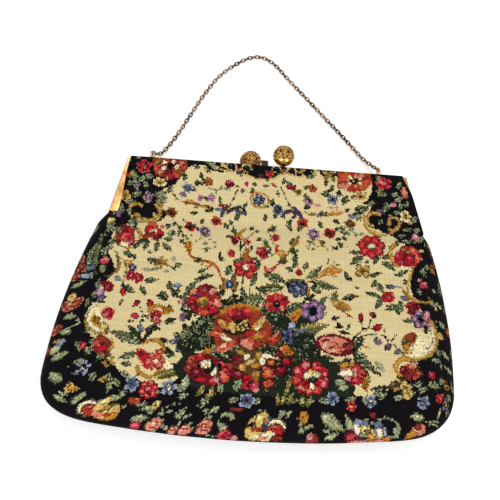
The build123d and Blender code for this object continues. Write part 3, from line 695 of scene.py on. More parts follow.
thread(marks([(139, 240), (148, 240), (156, 240)]), 0.6, leaf_mid)
# Olive flower with a leaf and its sprays, small blue and red flowers at the left
for turn, colour in ((90, gold), (-90, gold), (200, ochre), (-20, ochre), (30, gold), (150, moss)):
    x, y = mark(160.5, 263)
    way = math.radians(turn)
    dab(x + 2.4 * math.cos(way), y + 2.6 * math.sin(way), 1.9, 1.2, turn, colour)
dab(*mark(160, 263), 1.4, 1.2, 0, brown)
leaf(*mark(156, 263), 5.2, 2.8, 160, leaf_dark, leaf_light)
thread(marks([(163, 264), (169, 266), (174, 270)]), 0.8, leaf_mid)
leaves([
    (174, 268, 4.2, 2.4, 40, leaf_mid, sage), (171, 262, 3.6, 2.2, 60, sage, leaf_pale),
    (151, 271, 4.6, 2.4, 170, sage, leaf_pale), (150, 270, 4.2, 2.2, 10, leaf_light, leaf_pale),
    (143, 281, 8, 2.8, 10, leaf_mid, leaf_light), (123, 285, 8, 3, -35, leaf_mid, leaf_light),
    (140, 285, 6.2, 2.4, -65, leaf_mid, leaf_light), (163, 272, 2.6, 1.6, 20, sage, leaf_pale)])
thread(marks([(115, 256), (122, 260), (126, 268), (124, 276), (122, 284)]), 0.9, moss)
thread(marks([(116, 252), (118, 262), (117, 272)]), 1.3, brown)
dab(*mark(128, 263), 1.9, 1.7, 0, amber)
blooms([
    (132, 268.5, 2.6, 5, slate, ink, blue_grey, sky, 20),
    (130.4, 276, 3.4, 5, rose, red, deep_red, salmon, 10),
    (137.5, 278, 3.8, 5, red, red, deep_red, pink, 40)])
dab(*mark(137, 281), 1.6, 0.8, 0, deep_red)
leaves([(121, 281, 4.6, 2.6, 150, blue_grey, sage), (122, 290, 3.2, 2, 90, leaf_dark, leaf_mid)])
dab(*mark(122.5, 292), 1.3, 1.8, 20, red)
leaf(*mark(122, 300), 3, 1.8, 240, leaf_mid, sage)
# Gold curled leaf on the left, and its sprays
patch(marks([(184, 246), (186, 242), (190, 242), (192, 248), (190, 252), (194, 257), (206, 260),
        (215, 264), (221, 274), (217, 270), (207, 264), (194, 261), (188, 256), (186, 250)]), amber)
thread(marks([(188, 250), (190, 256), (197, 260), (208, 262)]), 0.8, brown)
dabs([(187, 245, 1.6, 1.6, 0, amber), (209, 267, 1.9, 1.1, 20, red)])
thread(marks([(216, 268), (219, 274), (222, 280)]), 1.5, red, 0.8)
thread(marks([(201, 264), (207, 269), (199, 272)]), 0.7, leaf_mid)
for x, y, turn, long, wide in marks([(206, 253, 100, 2.8, 1.5), (219, 258, 90, 3, 1.6),
        (193, 262, 30, 4.8, 2), (213, 275, 200, 8.8, 2.8), (197, 273, 20, 5, 2.2),
        (221, 263, 80, 3.6, 1.8), (199, 283, 70, 3.6, 2), (183, 297, 55, 12, 3.6),
        (194, 280, 10, 3, 1.4), (168, 281, -70, 7.2, 3.2), (160, 291, -55, 6.4, 3.6),
        (173, 290, 280, 4, 2), (177, 288, 270, 5.4, 1.6), (225, 237, 0, 5, 2),
        (235, 237, 100, 5.4, 2.2)]):
    leaf(x, y, long, wide, turn, leaf_mid, leaf_light, sage)
dabs([(177, 285.5, 1.6, 1.4, 0, sky), (176, 286.5, 0.9, 0.7, 0, blue_grey)])
# Middle: red five-petalled flower, buds and small red flowers on tall stalks
thread(marks([(240, 240), (240, 255), (243, 275), (240, 300), (238, 312)]), 0.8, leaf_mid)
thread(marks([(252, 262), (252, 275), (249, 290), (250, 300)]), 0.7, leaf_mid)
thread(marks([(268, 232), (272, 242), (276, 252), (262, 260), (253, 264)]), 0.7, moss)
petal_flower(*mark(245.5, 267.5), 7.6, 5, red, deep_red, coral, pale_cream, 80)
dab(*mark(247.5, 266.5), 1.1, 0.9, 0, salmon)
for x, y, size in marks([(231, 254, 2.6), (246.5, 242, 2.4), (275, 238, 2.8)]):
    bloom(x, y, size, 5, coral, red, deep_red, rose, size * 40)
patch(marks([(232, 236), (238, 236), (238, 241), (235, 246), (231, 242)]), deep_red)
dab(*mark(235, 238), 1.2, 0.8, 0, red)
bloom(*mark(262, 253), 4.2, 6, rose, red, deep_red, rust, 15)
dab(*mark(259, 251), 1.2, 0.9, 0, salmon)
patch(marks([(263, 266), (269, 268), (278, 264), (276, 268), (270, 273), (266, 274)]), red)
dabs([(269, 270, 2.2, 0.8, 10, salmon), (276, 250, 1.2, 2.2, 10, red), (277, 247, 0.9, 1.2, 0, coral)])
thread(marks([(253, 233), (246, 240)]), 0.6, deep_red)
patch(marks([(236, 234), (244, 228), (246, 229), (240, 235), (236, 238)]), gold)
thread(marks([(238, 235), (246, 242)]), 1.1, amber)
patch(marks([(244, 250), (249, 248), (248, 256), (244, 262), (241, 258)]), ochre)
patch(marks([(280, 259), (284, 258), (287, 262), (283, 265), (277, 263)]), brown)
patch(marks([(276, 253), (280, 250), (285, 252), (284, 256), (279, 257)]), amber)
dab(*mark(281, 253), 1.6, 0.7, 10, straw)
patch(marks([(290, 247), (293, 241), (297, 238), (299, 243), (295, 247)]), amber)
thread(marks([(298, 238), (294, 246), (287, 254), (281, 260)]), 1.4, moss)
for x, y, turn, long, wide in marks([(264, 222, 80, 4, 2.6), (268, 231, 40, 4.6, 2.4),
        (260, 232, 180, 3.4, 1.8), (263, 240, -60, 6, 3), (256, 241, 40, 3, 1.4),
        (250, 231, 60, 3.4, 1.6), (258, 262, 150, 3.6, 2), (270, 250, 240, 3.6, 2),
        (232, 262, 10, 6, 2.6), (226, 276, 70, 6.6, 3.2), (254, 270, 60, 5, 2.2),
        (250, 286, 70, 8, 3), (290, 253, 20, 4.4, 2.2), (289, 245, 60, 5, 2.2),
        (296, 254, 260, 5.6, 2.6), (285, 268, -20, 4.6, 2.6), (298, 262, 230, 4.8, 2.6),
        (303, 270, 60, 4.8, 2.6), (240, 247, 30, 3.4, 1.6), (251, 246, 270, 3, 1.6),
        (272, 233, 60, 2.8, 1.4), (291, 232, 110, 6, 2.6), (297, 232, 60, 5.4, 2.2),
        (232, 282, 80, 4.6, 2.2)]):
    leaf(x, y, long, wide, turn, leaf_mid, leaf_light, sage)
bloom(*mark(298.8, 273), 2.6, 4, red, deep_red, deep_red, brick, 10)
# Right: red flower with a cream heart, orange leaf, olive flower and leafy sprays
petal_flower(*mark(371, 247), 8, 7, red, deep_red, coral, cream, 15)
dabs([(371, 248, 1.7, 1.1, 0, cream), (371, 249, 1.1, 0.5, 0, deep_red)])
patch(marks([(317, 277), (322, 271), (330, 268), (340, 269), (342, 272), (334, 275), (326, 274)]), amber)
thread(marks([(318, 276), (328, 271), (340, 271)]), 0.6, straw)
dab(*mark(331, 266), 1.6, 0.7, 10, salmon)
thread(marks([(304, 284), (316, 279), (326, 275), (336, 277)]), 0.9, ochre)
leaves([
    (306, 280, 12, 3.6, 45, leaf_dark, leaf_light), (309, 282, 16.5, 3.8, -12, leaf_dark, leaf_light),
    (310, 287, 7.2, 3.4, -30, leaf_mid, leaf_light)])
petal_flower(*mark(362, 271.5), 5, 4, gold, moss, straw, brown, 40)
for x, y, turn, long, wide in marks([(352, 281, 150, 5.2, 2.2), (344, 272, -60, 6, 2.4),
        (367, 277, 20, 8, 2.2), (360, 253, 180, 6.4, 2.6), (363, 256, 220, 9, 3.6),
        (381, 258, 10, 6.6, 2.6), (381, 262, -30, 8.2, 3.4), (377, 256, 250, 6, 2.8),
        (369, 262, 200, 2.6, 1.4), (391, 266, -20, 2, 1), (394, 277, 30, 9, 2.6),
        (373, 288, 80, 4.2, 2.8), (383, 293, 130, 6.4, 3), (381, 298, 165, 9.6, 2.6),
        (375, 309, 60, 7.4, 3.4), (341, 299, 15, 9, 3), (332, 303, 75, 6.8, 3.8),
        (318, 304, 40, 6.4, 2.6), (396, 247, 80, 5, 2.4), (385, 311, 20, 8.8, 2.2),
        (398, 301, -60, 6, 3), (391, 256, 100, 1.6, 1), (354, 286, -40, 3, 1.4),
        (402, 285, 40, 5, 2), (408, 267, 200, 3, 2)]):
    leaf(x, y, long, wide, turn, leaf_mid, leaf_light, sage)
thread(marks([(383, 244), (380, 256), (375, 264)]), 0.7, leaf_mid)
bloom(*mark(387.5, 297.5), 4.4, 6, red, red, deep_red, coral, 0, 0.85)
dab(*mark(389, 287), 2.2, 1.3, 10, slate)
thread(marks([(390, 288), (397, 287), (402, 288)]), 0.9, blue_grey)
dab(*mark(403, 299), 2, 1.3, -30, blue_grey)
# Rose at the right border, in an orange ring
curl(*mark(404, 258), 10.2, 130, 190, 1.9, amber, straw, ochre)
patch(marks([(394, 256), (401, 249), (412, 247), (420, 255), (420, 265), (410, 267), (399, 266),
        (394, 262)]), red)
dabs([
    (404, 250, 2.8, 1.8, 30, rust), (413, 252, 2.8, 1.9, -30, coral), (398, 257, 2.4, 1.8, 30, red),
    (405, 257, 2.2, 1.4, 60, deep_red), (410, 259, 3, 1.9, 0, red), (418, 261, 2.8, 1.9, -40, coral),
    (400, 263, 2.6, 1.5, 20, rose), (408, 264, 2.6, 1.3, -10, red), (404, 268, 2.8, 1, 0, pale_cream),
    (412, 256, 1.1, 0.9, 0, plum), (408, 252, 1.4, 0.6, 30, salmon), (416, 256, 1.4, 0.6, -50, salmon),
    (421, 251, 1.3, 1.1, 0, straw), (397, 252, 1.3, 0.6, 30, salmon)])

# Dark border down both sides and along the foot of the front
patch(marks([(104, 222), (112, 232), (108, 250), (112, 262), (114, 272), (107, 280), (100, 284),
        (97, 300), (90, 306), (84, 318), (86, 330), (93, 338), (99, 352), (112, 362), (114, 366),
        (124, 376), (138, 380), (150, 388), (166, 386), (180, 378), (194, 384), (220, 384), (240, 392),
        (268, 392), (288, 398), (320, 398), (340, 393), (362, 397), (374, 396), (386, 391), (394, 384),
        (398, 372), (404, 366), (420, 362), (434, 352), (436, 336), (428, 318), (417, 306), (412, 296),
        (410, 284), (414, 268), (426, 262), (440, 300), (452, 350), (462, 400), (450, 440), (250, 440),
        (60, 425), (40, 370), (70, 290), (90, 230)]), night)
for x, y, turn in marks([(104, 228, 30), (98, 240, 60), (106, 246, 40), (100, 252, 20), (112, 226, -40),
        (108, 234, 80), (104, 258, 100), (92, 262, 70), (96, 290, 80), (90, 300, 60), (84, 308, 70),
        (82, 334, 40), (88, 340, -30), (76, 352, 60), (80, 346, 150), (72, 364, 20), (84, 356, 60),
        (96, 362, 70), (90, 352, 30), (97, 372, 230), (108, 372, 270), (110, 380, 260), (118, 372, -20),
        (424, 352, 150), (430, 362, 20), (436, 348, -60), (440, 360, -70), (442, 376, 260),
        (423, 383, 200), (412, 378, 100), (416, 392, 20), (428, 390, 60), (436, 392, 100), (404, 396, 10),
        (392, 398, 0), (384, 396, 170), (376, 400, 30), (360, 402, 20), (344, 400, 10), (327, 404, 160),
        (316, 400, 190), (290, 404, 40), (262, 400, 200), (256, 396, 20), (232, 394, 60), (226, 402, 20),
        (216, 392, 90), (210, 400, 200), (184, 392, 150), (176, 398, 20), (160, 394, 160), (140, 396, 20),
        (128, 392, 200), (120, 386, 150), (437, 330, 80), (430, 308, 60), (420, 276, 60), (424, 270, 40),
        (408, 388, 250)]):
    leaf(x, y, 6.4, 3.2, turn, leaf_mid, sage, leaf_pale)

# Left border: curled scroll with a red flower, shell scroll round an orange fruit, small flowers
curl(*mark(104, 266), 8.6, 30, -270, 1.5, brown, gold, moss)
patch(marks([(98, 262), (106, 260), (112, 266), (110, 274), (100, 277), (95, 270)]), ink)
dabs([
    (104, 261, 2.4, 2.2, 0, rose), (106, 259, 1.4, 1, 0, salmon), (102, 269, 1.6, 2.4, 0, sage),
    (99.5, 293, 2.2, 2.6, 20, lilac), (101, 298, 2.2, 1.3, 10, violet)])
bloom(*mark(107.5, 287), 3.8, 5, red, deep_red, deep_red, rose, 20)
dab(*mark(103, 283), 1.8, 1.3, 0, deep_red)
leaf(*mark(104, 303), 4.6, 1.8, 160, leaf_mid, sage)
bloom(*mark(107, 313.5), 4.3, 5, coral, red, deep_red, rose, 10)
dab(*mark(105, 315), 1.3, 1, 0, pink)
thread(marks([(96, 306), (88, 314), (85, 322), (90, 331), (100, 334), (107, 329), (105, 323)]), 1.1, gold)
patch(marks([(92, 303), (100, 312), (102, 324), (104, 330), (94, 331), (88, 326), (87, 318)]), pale_cream)
thread(marks([(91, 308), (86, 320), (92, 330), (102, 333)]), 0.6, moss)
thread(marks([(102, 324), (107, 328), (105, 334)]), 1.2, brown)
patch(marks([(90, 319), (93, 315), (98, 317), (100, 325), (97, 328), (92, 325)]), amber)
dabs([(96, 320, 1.4, 2.2, 10, ochre), (103, 327, 2, 2.2, 0, straw)])
patch(marks([(93, 340), (99, 335), (107, 338), (111, 345), (107, 353), (98, 354), (92, 348)]), brick)
curl(*mark(106, 346), 4.2, 60, -170, 1.2, amber, straw, ochre)
for x, y, long, wide, colour in marks([(96, 343, 1.8, 1.2, coral), (101, 340, 2, 1.1, rust),
        (102, 349, 2.6, 1.6, red), (96, 349, 1.8, 1.2, red), (101, 344, 1.6, 1, deep_red),
        (98, 346, 1.1, 0.8, pink)]):
    dab(x, y, long, wide, 20, colour)
dab(*mark(72, 339), 1.4, 1.2, 0, brick)
bloom(*mark(82, 345.5), 2.5, 4, rose, red, deep_red, salmon, 20)
for x, y in marks([(78, 366), (84, 363), (88, 366), (77, 372), (84, 373), (80, 370), (86, 370),
        (81, 361)]):
    dab(x, y, 1.6, 0.8, 20, sky)
dabs([(82, 368, 0.8, 0.7, 0, straw), (75, 374, 1.6, 0.7, -10, blue_grey)])
for x, y in marks([(101, 358), (104, 363), (112, 358), (113, 364), (107, 366), (110, 361), (102, 382),
        (103, 378), (100, 380)]):
    dab(x, y, 1.2, 1, 10, straw if y > -85 else gold)
dab(*mark(107, 355), 1.8, 1.4, 0, brown)
leaves([
    (143, 344, 19.5, 5.4, 162, leaf_dark, leaf_light), (141, 343, 12, 4.6, 132, leaf_dark, leaf_mid),
    (137, 354, 10.5, 3.4, 196, leaf_dark, leaf_light), (132, 364, 6, 2.6, 185, leaf_mid, leaf_light)])

# Left of the bouquet: buds on stalks, small roses under curled orange leaves
for x, y, turn, colour in marks([(136, 304, 60, red), (149, 304, 90, red), (134, 316, 190, rose),
        (140, 329, 110, blue_grey), (148, 330, 60, plum)]):
    dab(x, y, 2.2, 1.5, turn, deep_red if colour is red else colour)
    dab(x, y, 1.5, 0.9, turn, colour)
thread(marks([(139, 308), (144, 316), (149, 320)]), 0.7, leaf_mid)
thread(marks([(149, 308), (148, 318), (152, 322)]), 0.7, leaf_mid)
for x, y, turn, long, wide in marks([(146, 316, 190, 3.4, 1.6), (133, 322, 170, 3, 1.8),
        (139, 324, 60, 2.6, 1.4), (146, 337, 240, 4, 2.2), (151, 333, 210, 4.4, 2.4),
        (151, 326, 20, 4, 2.2), (166, 300, 160, 6, 2.6), (170, 305, 260, 3, 2.4),
        (188, 301, 240, 5.6, 2.6), (160, 330, 170, 6, 3), (168, 341, 190, 6, 3.2),
        (176, 320, 200, 7, 3), (184, 323, 270, 4.4, 2.6), (164, 345, 260, 5.4, 3),
        (183, 355, 270, 7, 3.2), (174, 357, 150, 6.6, 4), (177, 365, 200, 6, 3.2),
        (170, 352, 160, 4.4, 2.6), (205, 310, 20, 5, 3), (213, 315, 320, 6, 3.4),
        (204, 330, 40, 6.6, 4), (201, 338, 330, 7, 4.4), (190, 330, 300, 5.6, 2.8),
        (212, 338, 320, 6, 3.6), (216, 346, 250, 5.4, 3.2), (208, 344, 200, 6.4, 3.2),
        (222, 308, 340, 5.4, 2.8), (228, 302, 300, 5.6, 2.8), (219, 299, 180, 5, 2.8),
        (232, 296, 290, 6.4, 1.8), (244, 290, 250, 8.4, 2.4), (249, 302, 20, 5.6, 3.2),
        (224, 290, 240, 5, 3), (216, 288, 200, 5, 4), (214, 296, 300, 4.2, 3),
        (233, 288, 280, 3.4, 2)]):
    leaf(x, y, long, wide, turn, leaf_dark, leaf_mid, sage)
curl(*mark(160, 314), 7, 170, -150, 1.6, amber, gold, ochre)
dab(*mark(167, 310), 4.6, 1.2, -6, ochre)
blooms([
    (155, 316, 3.9, 5, coral, red, deep_red, pink, 30), (157, 322, 2.6, 5, pink, red, deep_red, salmon)])
dab(*mark(181, 302), 2, 1.8, 0, pink)
bloom(*mark(183, 317), 3.3, 5, pink, violet, plum, lilac)
dab(*mark(187, 315), 1.3, 1.8, 0, red)
for turn in (20, 75, 130, 185, 250, 320):
    x, y = mark(181.8, 342)
    way = math.radians(turn)
    dab(x + 4.1 * math.cos(way), y + 3.6 * math.sin(way), 2.8, 1.7, turn, slate)
    dab(x + 4.4 * math.cos(math.radians(turn)), y + 3.8 * math.sin(math.radians(turn)), 1.7, 0.7, turn, plum)
    dab(x + 5.6 * math.cos(math.radians(turn)), y + 4.9 * math.sin(math.radians(turn)), 0.8, 0.6, turn, sky)
dabs([
    (183, 342, 1.9, 1.7, 0, brown), (183, 342, 0.8, 0.8, 0, moss), (194, 337, 2.2, 1.9, 0, gold),
    (196, 339, 1, 0.8, 0, ochre)])
curl(*mark(155, 352), 8.6, 150, -160, 1.7, amber, gold, ochre)
curl(*mark(152, 366), 9, 190, 160, 1.7, amber, gold, ochre)
patch(marks([(135, 350), (143, 350), (150, 357), (148, 365), (141, 362), (136, 357)]), red)
dab(*mark(140, 354), 2, 1.2, -40, deep_red)
petal_flower(*mark(154.5, 361.5), 5.6, 6, coral, red, pink, pale_cream, 10)
dab(*mark(145, 367), 2.6, 1.2, -30, red)
bloom(*mark(159, 352), 2.6, 5, red, coral, deep_red, straw)
dab(*mark(136, 376), 1.4, 0.8, 0, moss)
patch(marks([(151, 378), (160, 371), (170, 369), (184, 369), (178, 375), (166, 379), (158, 380)]), moss)
thread(marks([(152, 378), (166, 373), (183, 370)]), 0.7, straw)
thread(marks([(156, 380), (170, 376)]), 0.6, leaf_dark)
patch(marks([(162, 366), (167, 361), (172, 366), (168, 369)]), pale_cream)

# Dark leaves that the bouquet's flowers lie on
patch(marks([(187, 328), (200, 318), (214, 308), (232, 298), (250, 304), (264, 308), (284, 310),
        (300, 302), (318, 318), (310, 330), (318, 345), (322, 358), (330, 362), (345, 364), (352, 380),
        (350, 396), (300, 400), (240, 394), (200, 390), (180, 380), (172, 368), (182, 356),
        (176, 345)]), shade("1B2217"))
foliage = np.random.default_rng(5)
low_left, high_right = mark(180, 392), mark(345, 308)
for number in range(420):
    x = low_left[0] + foliage.random() * (high_right[0] - low_left[0])
    y = low_left[1] + foliage.random() * (high_right[1] - low_left[1])
    if ((x + 19) / 44) ** 2 + ((y + 67) / 30) ** 2 < 1:
        leaf(x, y, 4.5 + 3.5 * foliage.random(), 2.2 + 1.2 * foliage.random(), 360 * foliage.random(),
             leaf_dark, (leaf_light, sage, moss, leaf_light, leaf_mid)[number % 5],
             (leaf_pale, sage)[number % 2])

# Heart of the bouquet: red flower with an orange centre, blue flower, carnation
petal_flower(*mark(203.5, 301), 9.6, 8, red, deep_red, coral, amber, 10)
dabs([
    (206, 289, 2.4, 2.2, 80, deep_red), (212, 292, 2.6, 2, 50, salmon), (217, 304, 2.4, 2.6, 0, salmon),
    (193, 292, 2.4, 1.6, 40, salmon), (191, 299, 2, 1.6, 0, red), (194, 307, 2.6, 2.2, 60, deep_red),
    (203, 313, 2.6, 1.6, 0, coral), (212, 310, 2.6, 2.2, -40, red), (197, 296, 1.8, 1.2, -40, plum),
    (202.5, 302, 3.2, 2.9, 0, amber), (203, 303, 2, 1.6, 0, moss), (202, 302, 1, 0.8, 0, gold)])
for turn in (60, 130, 200, 330, 20):
    x, y = mark(228, 286)
    dab(x + 3.6 * math.cos(math.radians(turn)), y + 3 * math.sin(math.radians(turn)), 2.2, 1.4, turn, ochre)
bloom(*mark(229, 285), 3.4, 6, blue_grey, slate, ink, sky, 15)
patch(marks([(265, 300), (270, 295), (280, 294), (289, 300), (289, 304), (284, 309), (280, 316),
        (276, 313), (270, 309)]), red)
for number in range(11):
    turn = 200 + number * 32.7
    x, y = mark(276, 303)
    dab(x + 5.6 * math.cos(math.radians(turn)), y + 4.6 * math.sin(math.radians(turn)), 2.6, 0.9, turn,
        (coral, red, deep_red, rose)[number % 4])
dabs([
    (275.5, 304.5, 1.9, 1.8, 0, ink), (275.5, 304, 0.7, 0.7, 0, sage), (281, 309, 2, 1.3, 60, salmon)])
leaves([
    (285, 282, 12.5, 4.6, 165, leaf_dark, leaf_light), (284, 288, 13.5, 5, 185, leaf_dark, moss),
    (264, 299, 12.5, 6.6, 190, leaf_dark, leaf_light), (268, 296, 8, 3, 150, leaf_dark, leaf_light)])
patch(marks([(284, 284), (291, 279), (302, 281), (309, 289), (306, 296), (296, 293),
        (288, 290)]), leaf_dark)
petal_flower(*mark(297.5, 289), 5.6, 6, slate, ink, blue_grey, sky, 20)
dab(*mark(296, 288), 1.2, 1.1, 0, sky)
thread(marks([(284, 284), (292, 280), (303, 281)]), 1, moss)
thread(marks([(309, 291), (307, 296)]), 1.6, ochre)
petal_flower(*mark(312.7, 311), 7.2, 6, violet, plum, lilac, ink, 30)
dab(*mark(313, 312), 2, 1.6, 0, ink)
for x, y in marks([(306, 313), (311, 305), (319, 309), (318, 316)]):
    dab(x, y, 1.5, 0.8, 30, lilac)
patch(marks([(288, 318), (292, 312), (298, 309), (302, 310), (298, 318), (293, 323)]), amber)
dabs([(293, 319, 1.6, 1.1, 40, rust), (297, 314, 1.5, 0.9, 50, ochre)])
leaves([
    (294, 331, 19, 5.2, 12, moss, leaf_light, straw), (284, 312, 13, 3.6, 30, leaf_dark, leaf_light),
    (303, 300, 7, 3, 25, leaf_dark, leaf_mid)])
patch(marks([(331, 301), (338, 301), (347, 305), (352, 311), (344, 311), (335, 308)]), gold)
dabs([
    (340, 308, 3, 1.3, -20, ochre), (336, 304, 1.5, 0.8, 20, straw),
    (348.5, 316.5, 1.9, 1.1, 150, red)])
thread(marks([(344, 311), (348, 316)]), 0.6, moss)

# Main rose: dark-red crescent over cream stamens, orange petals falling to both sides
patch(marks([(213, 318), (222, 310), (233, 306), (247, 306), (260, 311), (268, 322), (280, 334),
        (278, 344), (264, 348), (250, 350), (238, 346), (226, 352), (216, 352), (214, 340), (208, 334),
        (214, 328)]), rust)
thread(marks([(221, 312), (232, 307), (246, 306), (257, 309)]), 2.2, amber)
dabs([
    (239.5, 316, 6, 3.3, 0, deep_red), (232, 314, 3, 2, 40, red), (247, 313, 3.4, 2.4, -40, red),
    (228, 311, 2.6, 1.1, 40, coral), (250, 309, 3, 1.2, -20, ochre), (219, 321, 3.6, 1.5, 20, brick),
    (223, 325, 4.4, 1.7, -50, amber), (220, 324, 2.2, 0.8, -40, salmon), (216, 335, 4, 1.7, -10, coral),
    (225, 338, 4.2, 1.6, -25, pale_cream), (222, 336, 2, 0.9, -10, salmon),
    (258, 325, 4.6, 2.4, 50, amber), (261, 322, 3.6, 1.6, 60, straw),
    (257, 329, 2.2, 1, 40, pale_cream), (256, 336, 5.4, 1.9, 12, amber), (249, 335, 4.2, 1.2, 10, red),
    (263, 334, 3, 1.1, 20, coral), (274, 337, 4.4, 1.6, 55, coral), (277, 334, 2.6, 0.8, 55, salmon),
    (266, 344, 4.4, 1.3, 15, rust), (269, 343, 3, 0.7, 15, brick), (226, 347, 5.6, 2.8, 30, salmon),
    (231, 344, 3, 1.5, 40, coral), (222, 350, 2.4, 1.1, 20, coral), (246, 344, 4.4, 3.2, -40, salmon),
    (250, 341, 2.4, 1.5, -30, coral), (243, 338, 2.4, 1.2, 0, brick), (235, 336, 5.6, 1.5, 0, brick),
    (238, 341, 1.2, 3, 0, deep_red), (228, 333, 5, 0.9, -12, leaf_dark),
    (262, 330, 4, 0.8, 30, brown)])
patch(marks([(229, 329), (232, 323), (240, 320), (248, 323), (250, 330), (242, 334),
        (234, 333)]), leaf_dark)
patch(marks([(228, 326), (232, 322), (235, 329), (233, 334), (229, 331)]), straw)
for x, y in marks([(240, 324), (243, 322), (237, 327), (241, 328), (246, 325), (248, 328), (238, 331),
        (243, 331), (234, 325), (246, 321)]):
    dab(x, y, 1.2, 0.7, 40, straw if y < -55 else pale_cream)

# Lower left of the bouquet: large red flower with a split cream heart
patch(marks([(184, 362), (190, 357), (204, 352), (212, 357), (222, 362), (234, 364), (232, 374),
        (224, 384), (212, 386), (200, 384), (190, 378), (184, 371)]), deep_red)
dabs([
    (191, 362, 3.8, 2.2, 10, brick), (192, 358, 2.6, 0.9, 10, coral), (201, 357, 3.2, 2, 10, red),
    (206, 353, 2.6, 1.3, 20, coral), (209, 358, 2.6, 1.6, -20, deep_red),
    (188, 370, 3.2, 2, -30, brick), (196, 374, 3.6, 2.4, -30, deep_red), (200, 380, 2.6, 1.5, 10, red),
    (213, 382, 3.2, 2.2, 30, red), (216, 380, 1.4, 1.7, 0, pink), (222, 366, 4, 2.2, -20, red),
    (225, 372, 3, 2.8, 0, red), (224, 378, 2.2, 2.4, 0, coral), (222, 375, 1.2, 1.8, 20, salmon),
    (229, 366, 2.4, 1.4, -20, rust), (193, 366, 3.4, 0.7, 0, rust), (199, 367, 1.8, 1.2, 0, ink),
    (218, 368, 1.3, 2.2, 0, ink), (205.5, 364.5, 3, 2.2, 0, pale_cream),
    (213, 371, 1.8, 3.1, 0, pale_cream), (206, 366, 1.7, 0.8, 10, straw),
    (208, 371, 2.2, 1.5, 30, leaf_dark), (212, 366, 0.9, 2, 30, ink), (207, 351, 2.6, 1.3, 10, amber),
    (199, 352, 2.2, 0.9, 20, cream)])

# Below the main rose: gold cluster, orange and red buds, dark leaves
for x, y, turn, long, wide in marks([(224, 354, 20, 8, 3), (236, 356, 30, 6, 3.2),
        (230, 378, 30, 4.6, 3), (238, 386, 100, 4.6, 3.4), (252, 352, 10, 7, 3),
        (262, 352, 60, 5, 3), (258, 368, 0, 4.6, 3), (246, 360, 110, 4, 2.2),
        (264, 384, 280, 5.4, 3.4), (276, 390, 100, 6, 3), (272, 322, 60, 7.4, 5),
        (270, 314, 300, 6.8, 5.2), (277, 326, 250, 5.4, 4), (286, 326, 210, 6, 3.4),
        (297, 334, 20, 6, 3.6), (303, 340, 340, 6.4, 3.6), (309, 338, 40, 5, 2.4),
        (297, 348, 280, 6.6, 4.2), (292, 357, 100, 5.4, 3.6), (305, 352, 260, 7.4, 3.2),
        (300, 362, 20, 4.6, 2.8), (310, 348, 300, 6, 2.8), (320, 357, 350, 7.4, 2.6),
        (316, 348, 230, 3, 1.6), (289, 366, 240, 5.6, 3.2), (287, 374, 280, 6.6, 4.2),
        (296, 392, 90, 6.6, 3.4), (334, 328, 10, 5.2, 1.8), (338, 332, 350, 6.2, 1.8),
        (331, 320, 20, 4.4, 1.8), (336, 322, 310, 3.8, 1.6), (341, 300, 10, 5.4, 1.8),
        (346, 330, 60, 3.6, 1.4), (332, 368, 20, 7, 3.2), (336, 374, 350, 5.8, 2.8),
        (341, 362, 20, 5.4, 2.6), (333, 384, 320, 6.6, 3.2), (340, 392, 10, 6, 2.8)]):
    leaf(x, y, long, wide, turn, leaf_dark, leaf_mid, sage)
patch(marks([(236, 352), (240, 347), (250, 350), (262, 352), (262, 362), (258, 374), (250, 382),
        (240, 372), (234, 366)]), brown)
dabs([
    (241, 353, 3.4, 1.3, -20, gold), (246, 358, 1.9, 1.4, 60, pale_cream),
    (250, 362, 3, 1.3, 40, straw), (258, 356, 2.2, 2.6, 10, gold), (262, 362, 1.5, 2.4, 10, pale_cream),
    (254, 366, 2.6, 1.2, 30, amber), (242, 368, 2, 2.8, 20, amber), (241, 372, 1, 1.6, 0, cream),
    (237, 361, 2.6, 2.4, 0, brick), (235, 358, 2, 1.5, 20, deep_red), (254, 377, 2.6, 2.8, 0, ochre),
    (257, 374, 1.4, 1.2, 0, gold), (267, 357, 3.2, 1.7, -20, pale_cream),
    (276, 358, 2, 1.3, -20, cream), (239, 376, 4.8, 2.3, -15, deep_red), (247, 378, 2.4, 1.5, 0, red),
    (247, 385, 3.4, 2.8, 30, red), (245, 387, 2, 1.4, 30, coral), (254, 387, 2.6, 2.9, 0, rose),
    (255, 391, 1.7, 1, 0, pink), (250, 383, 1.2, 1, 0, leaf_dark)])
for x, y, size, one, two, three in marks([(284, 350.5, 3.5, coral, amber, rust),
        (278, 355, 2.4, deep_red, brick, deep_red), (285.5, 362, 3.3, red, deep_red, deep_red),
        (271, 363, 2.8, amber, rust, deep_red), (268, 374, 3.5, amber, coral, rust),
        (280, 371, 3.7, red, deep_red, deep_red), (268, 384, 3.3, rust, coral, deep_red),
        (264, 368, 1.8, pink, rust, deep_red), (290, 353, 2.2, rust, amber, brown)]):
    dab(x, y, size, size * 0.86, 20, three)
    dab(x, y, size * 0.82, size * 0.68, 20, two)
    dab(x, y, size * 0.44, size * 0.3, 20, one)
for turn in (10, 80, 150, 215, 290):
    x, y = mark(289, 336)
    way = math.radians(turn)
    dab(x + 3.4 * math.cos(way), y + 3.4 * math.sin(way), 2.6, 1.3, turn, slate)
    dab(x + 3.8 * math.cos(way), y + 3.8 * math.sin(way), 1.5, 0.6, turn, blue_grey)
dabs([
    (291, 326, 2.2, 1.8, 60, sky), (290, 330, 1.3, 1.9, 0, blue_grey),
    (302, 331, 2.2, 1.2, 20, blue_grey), (290, 335, 1.1, 1.9, 0, violet)])

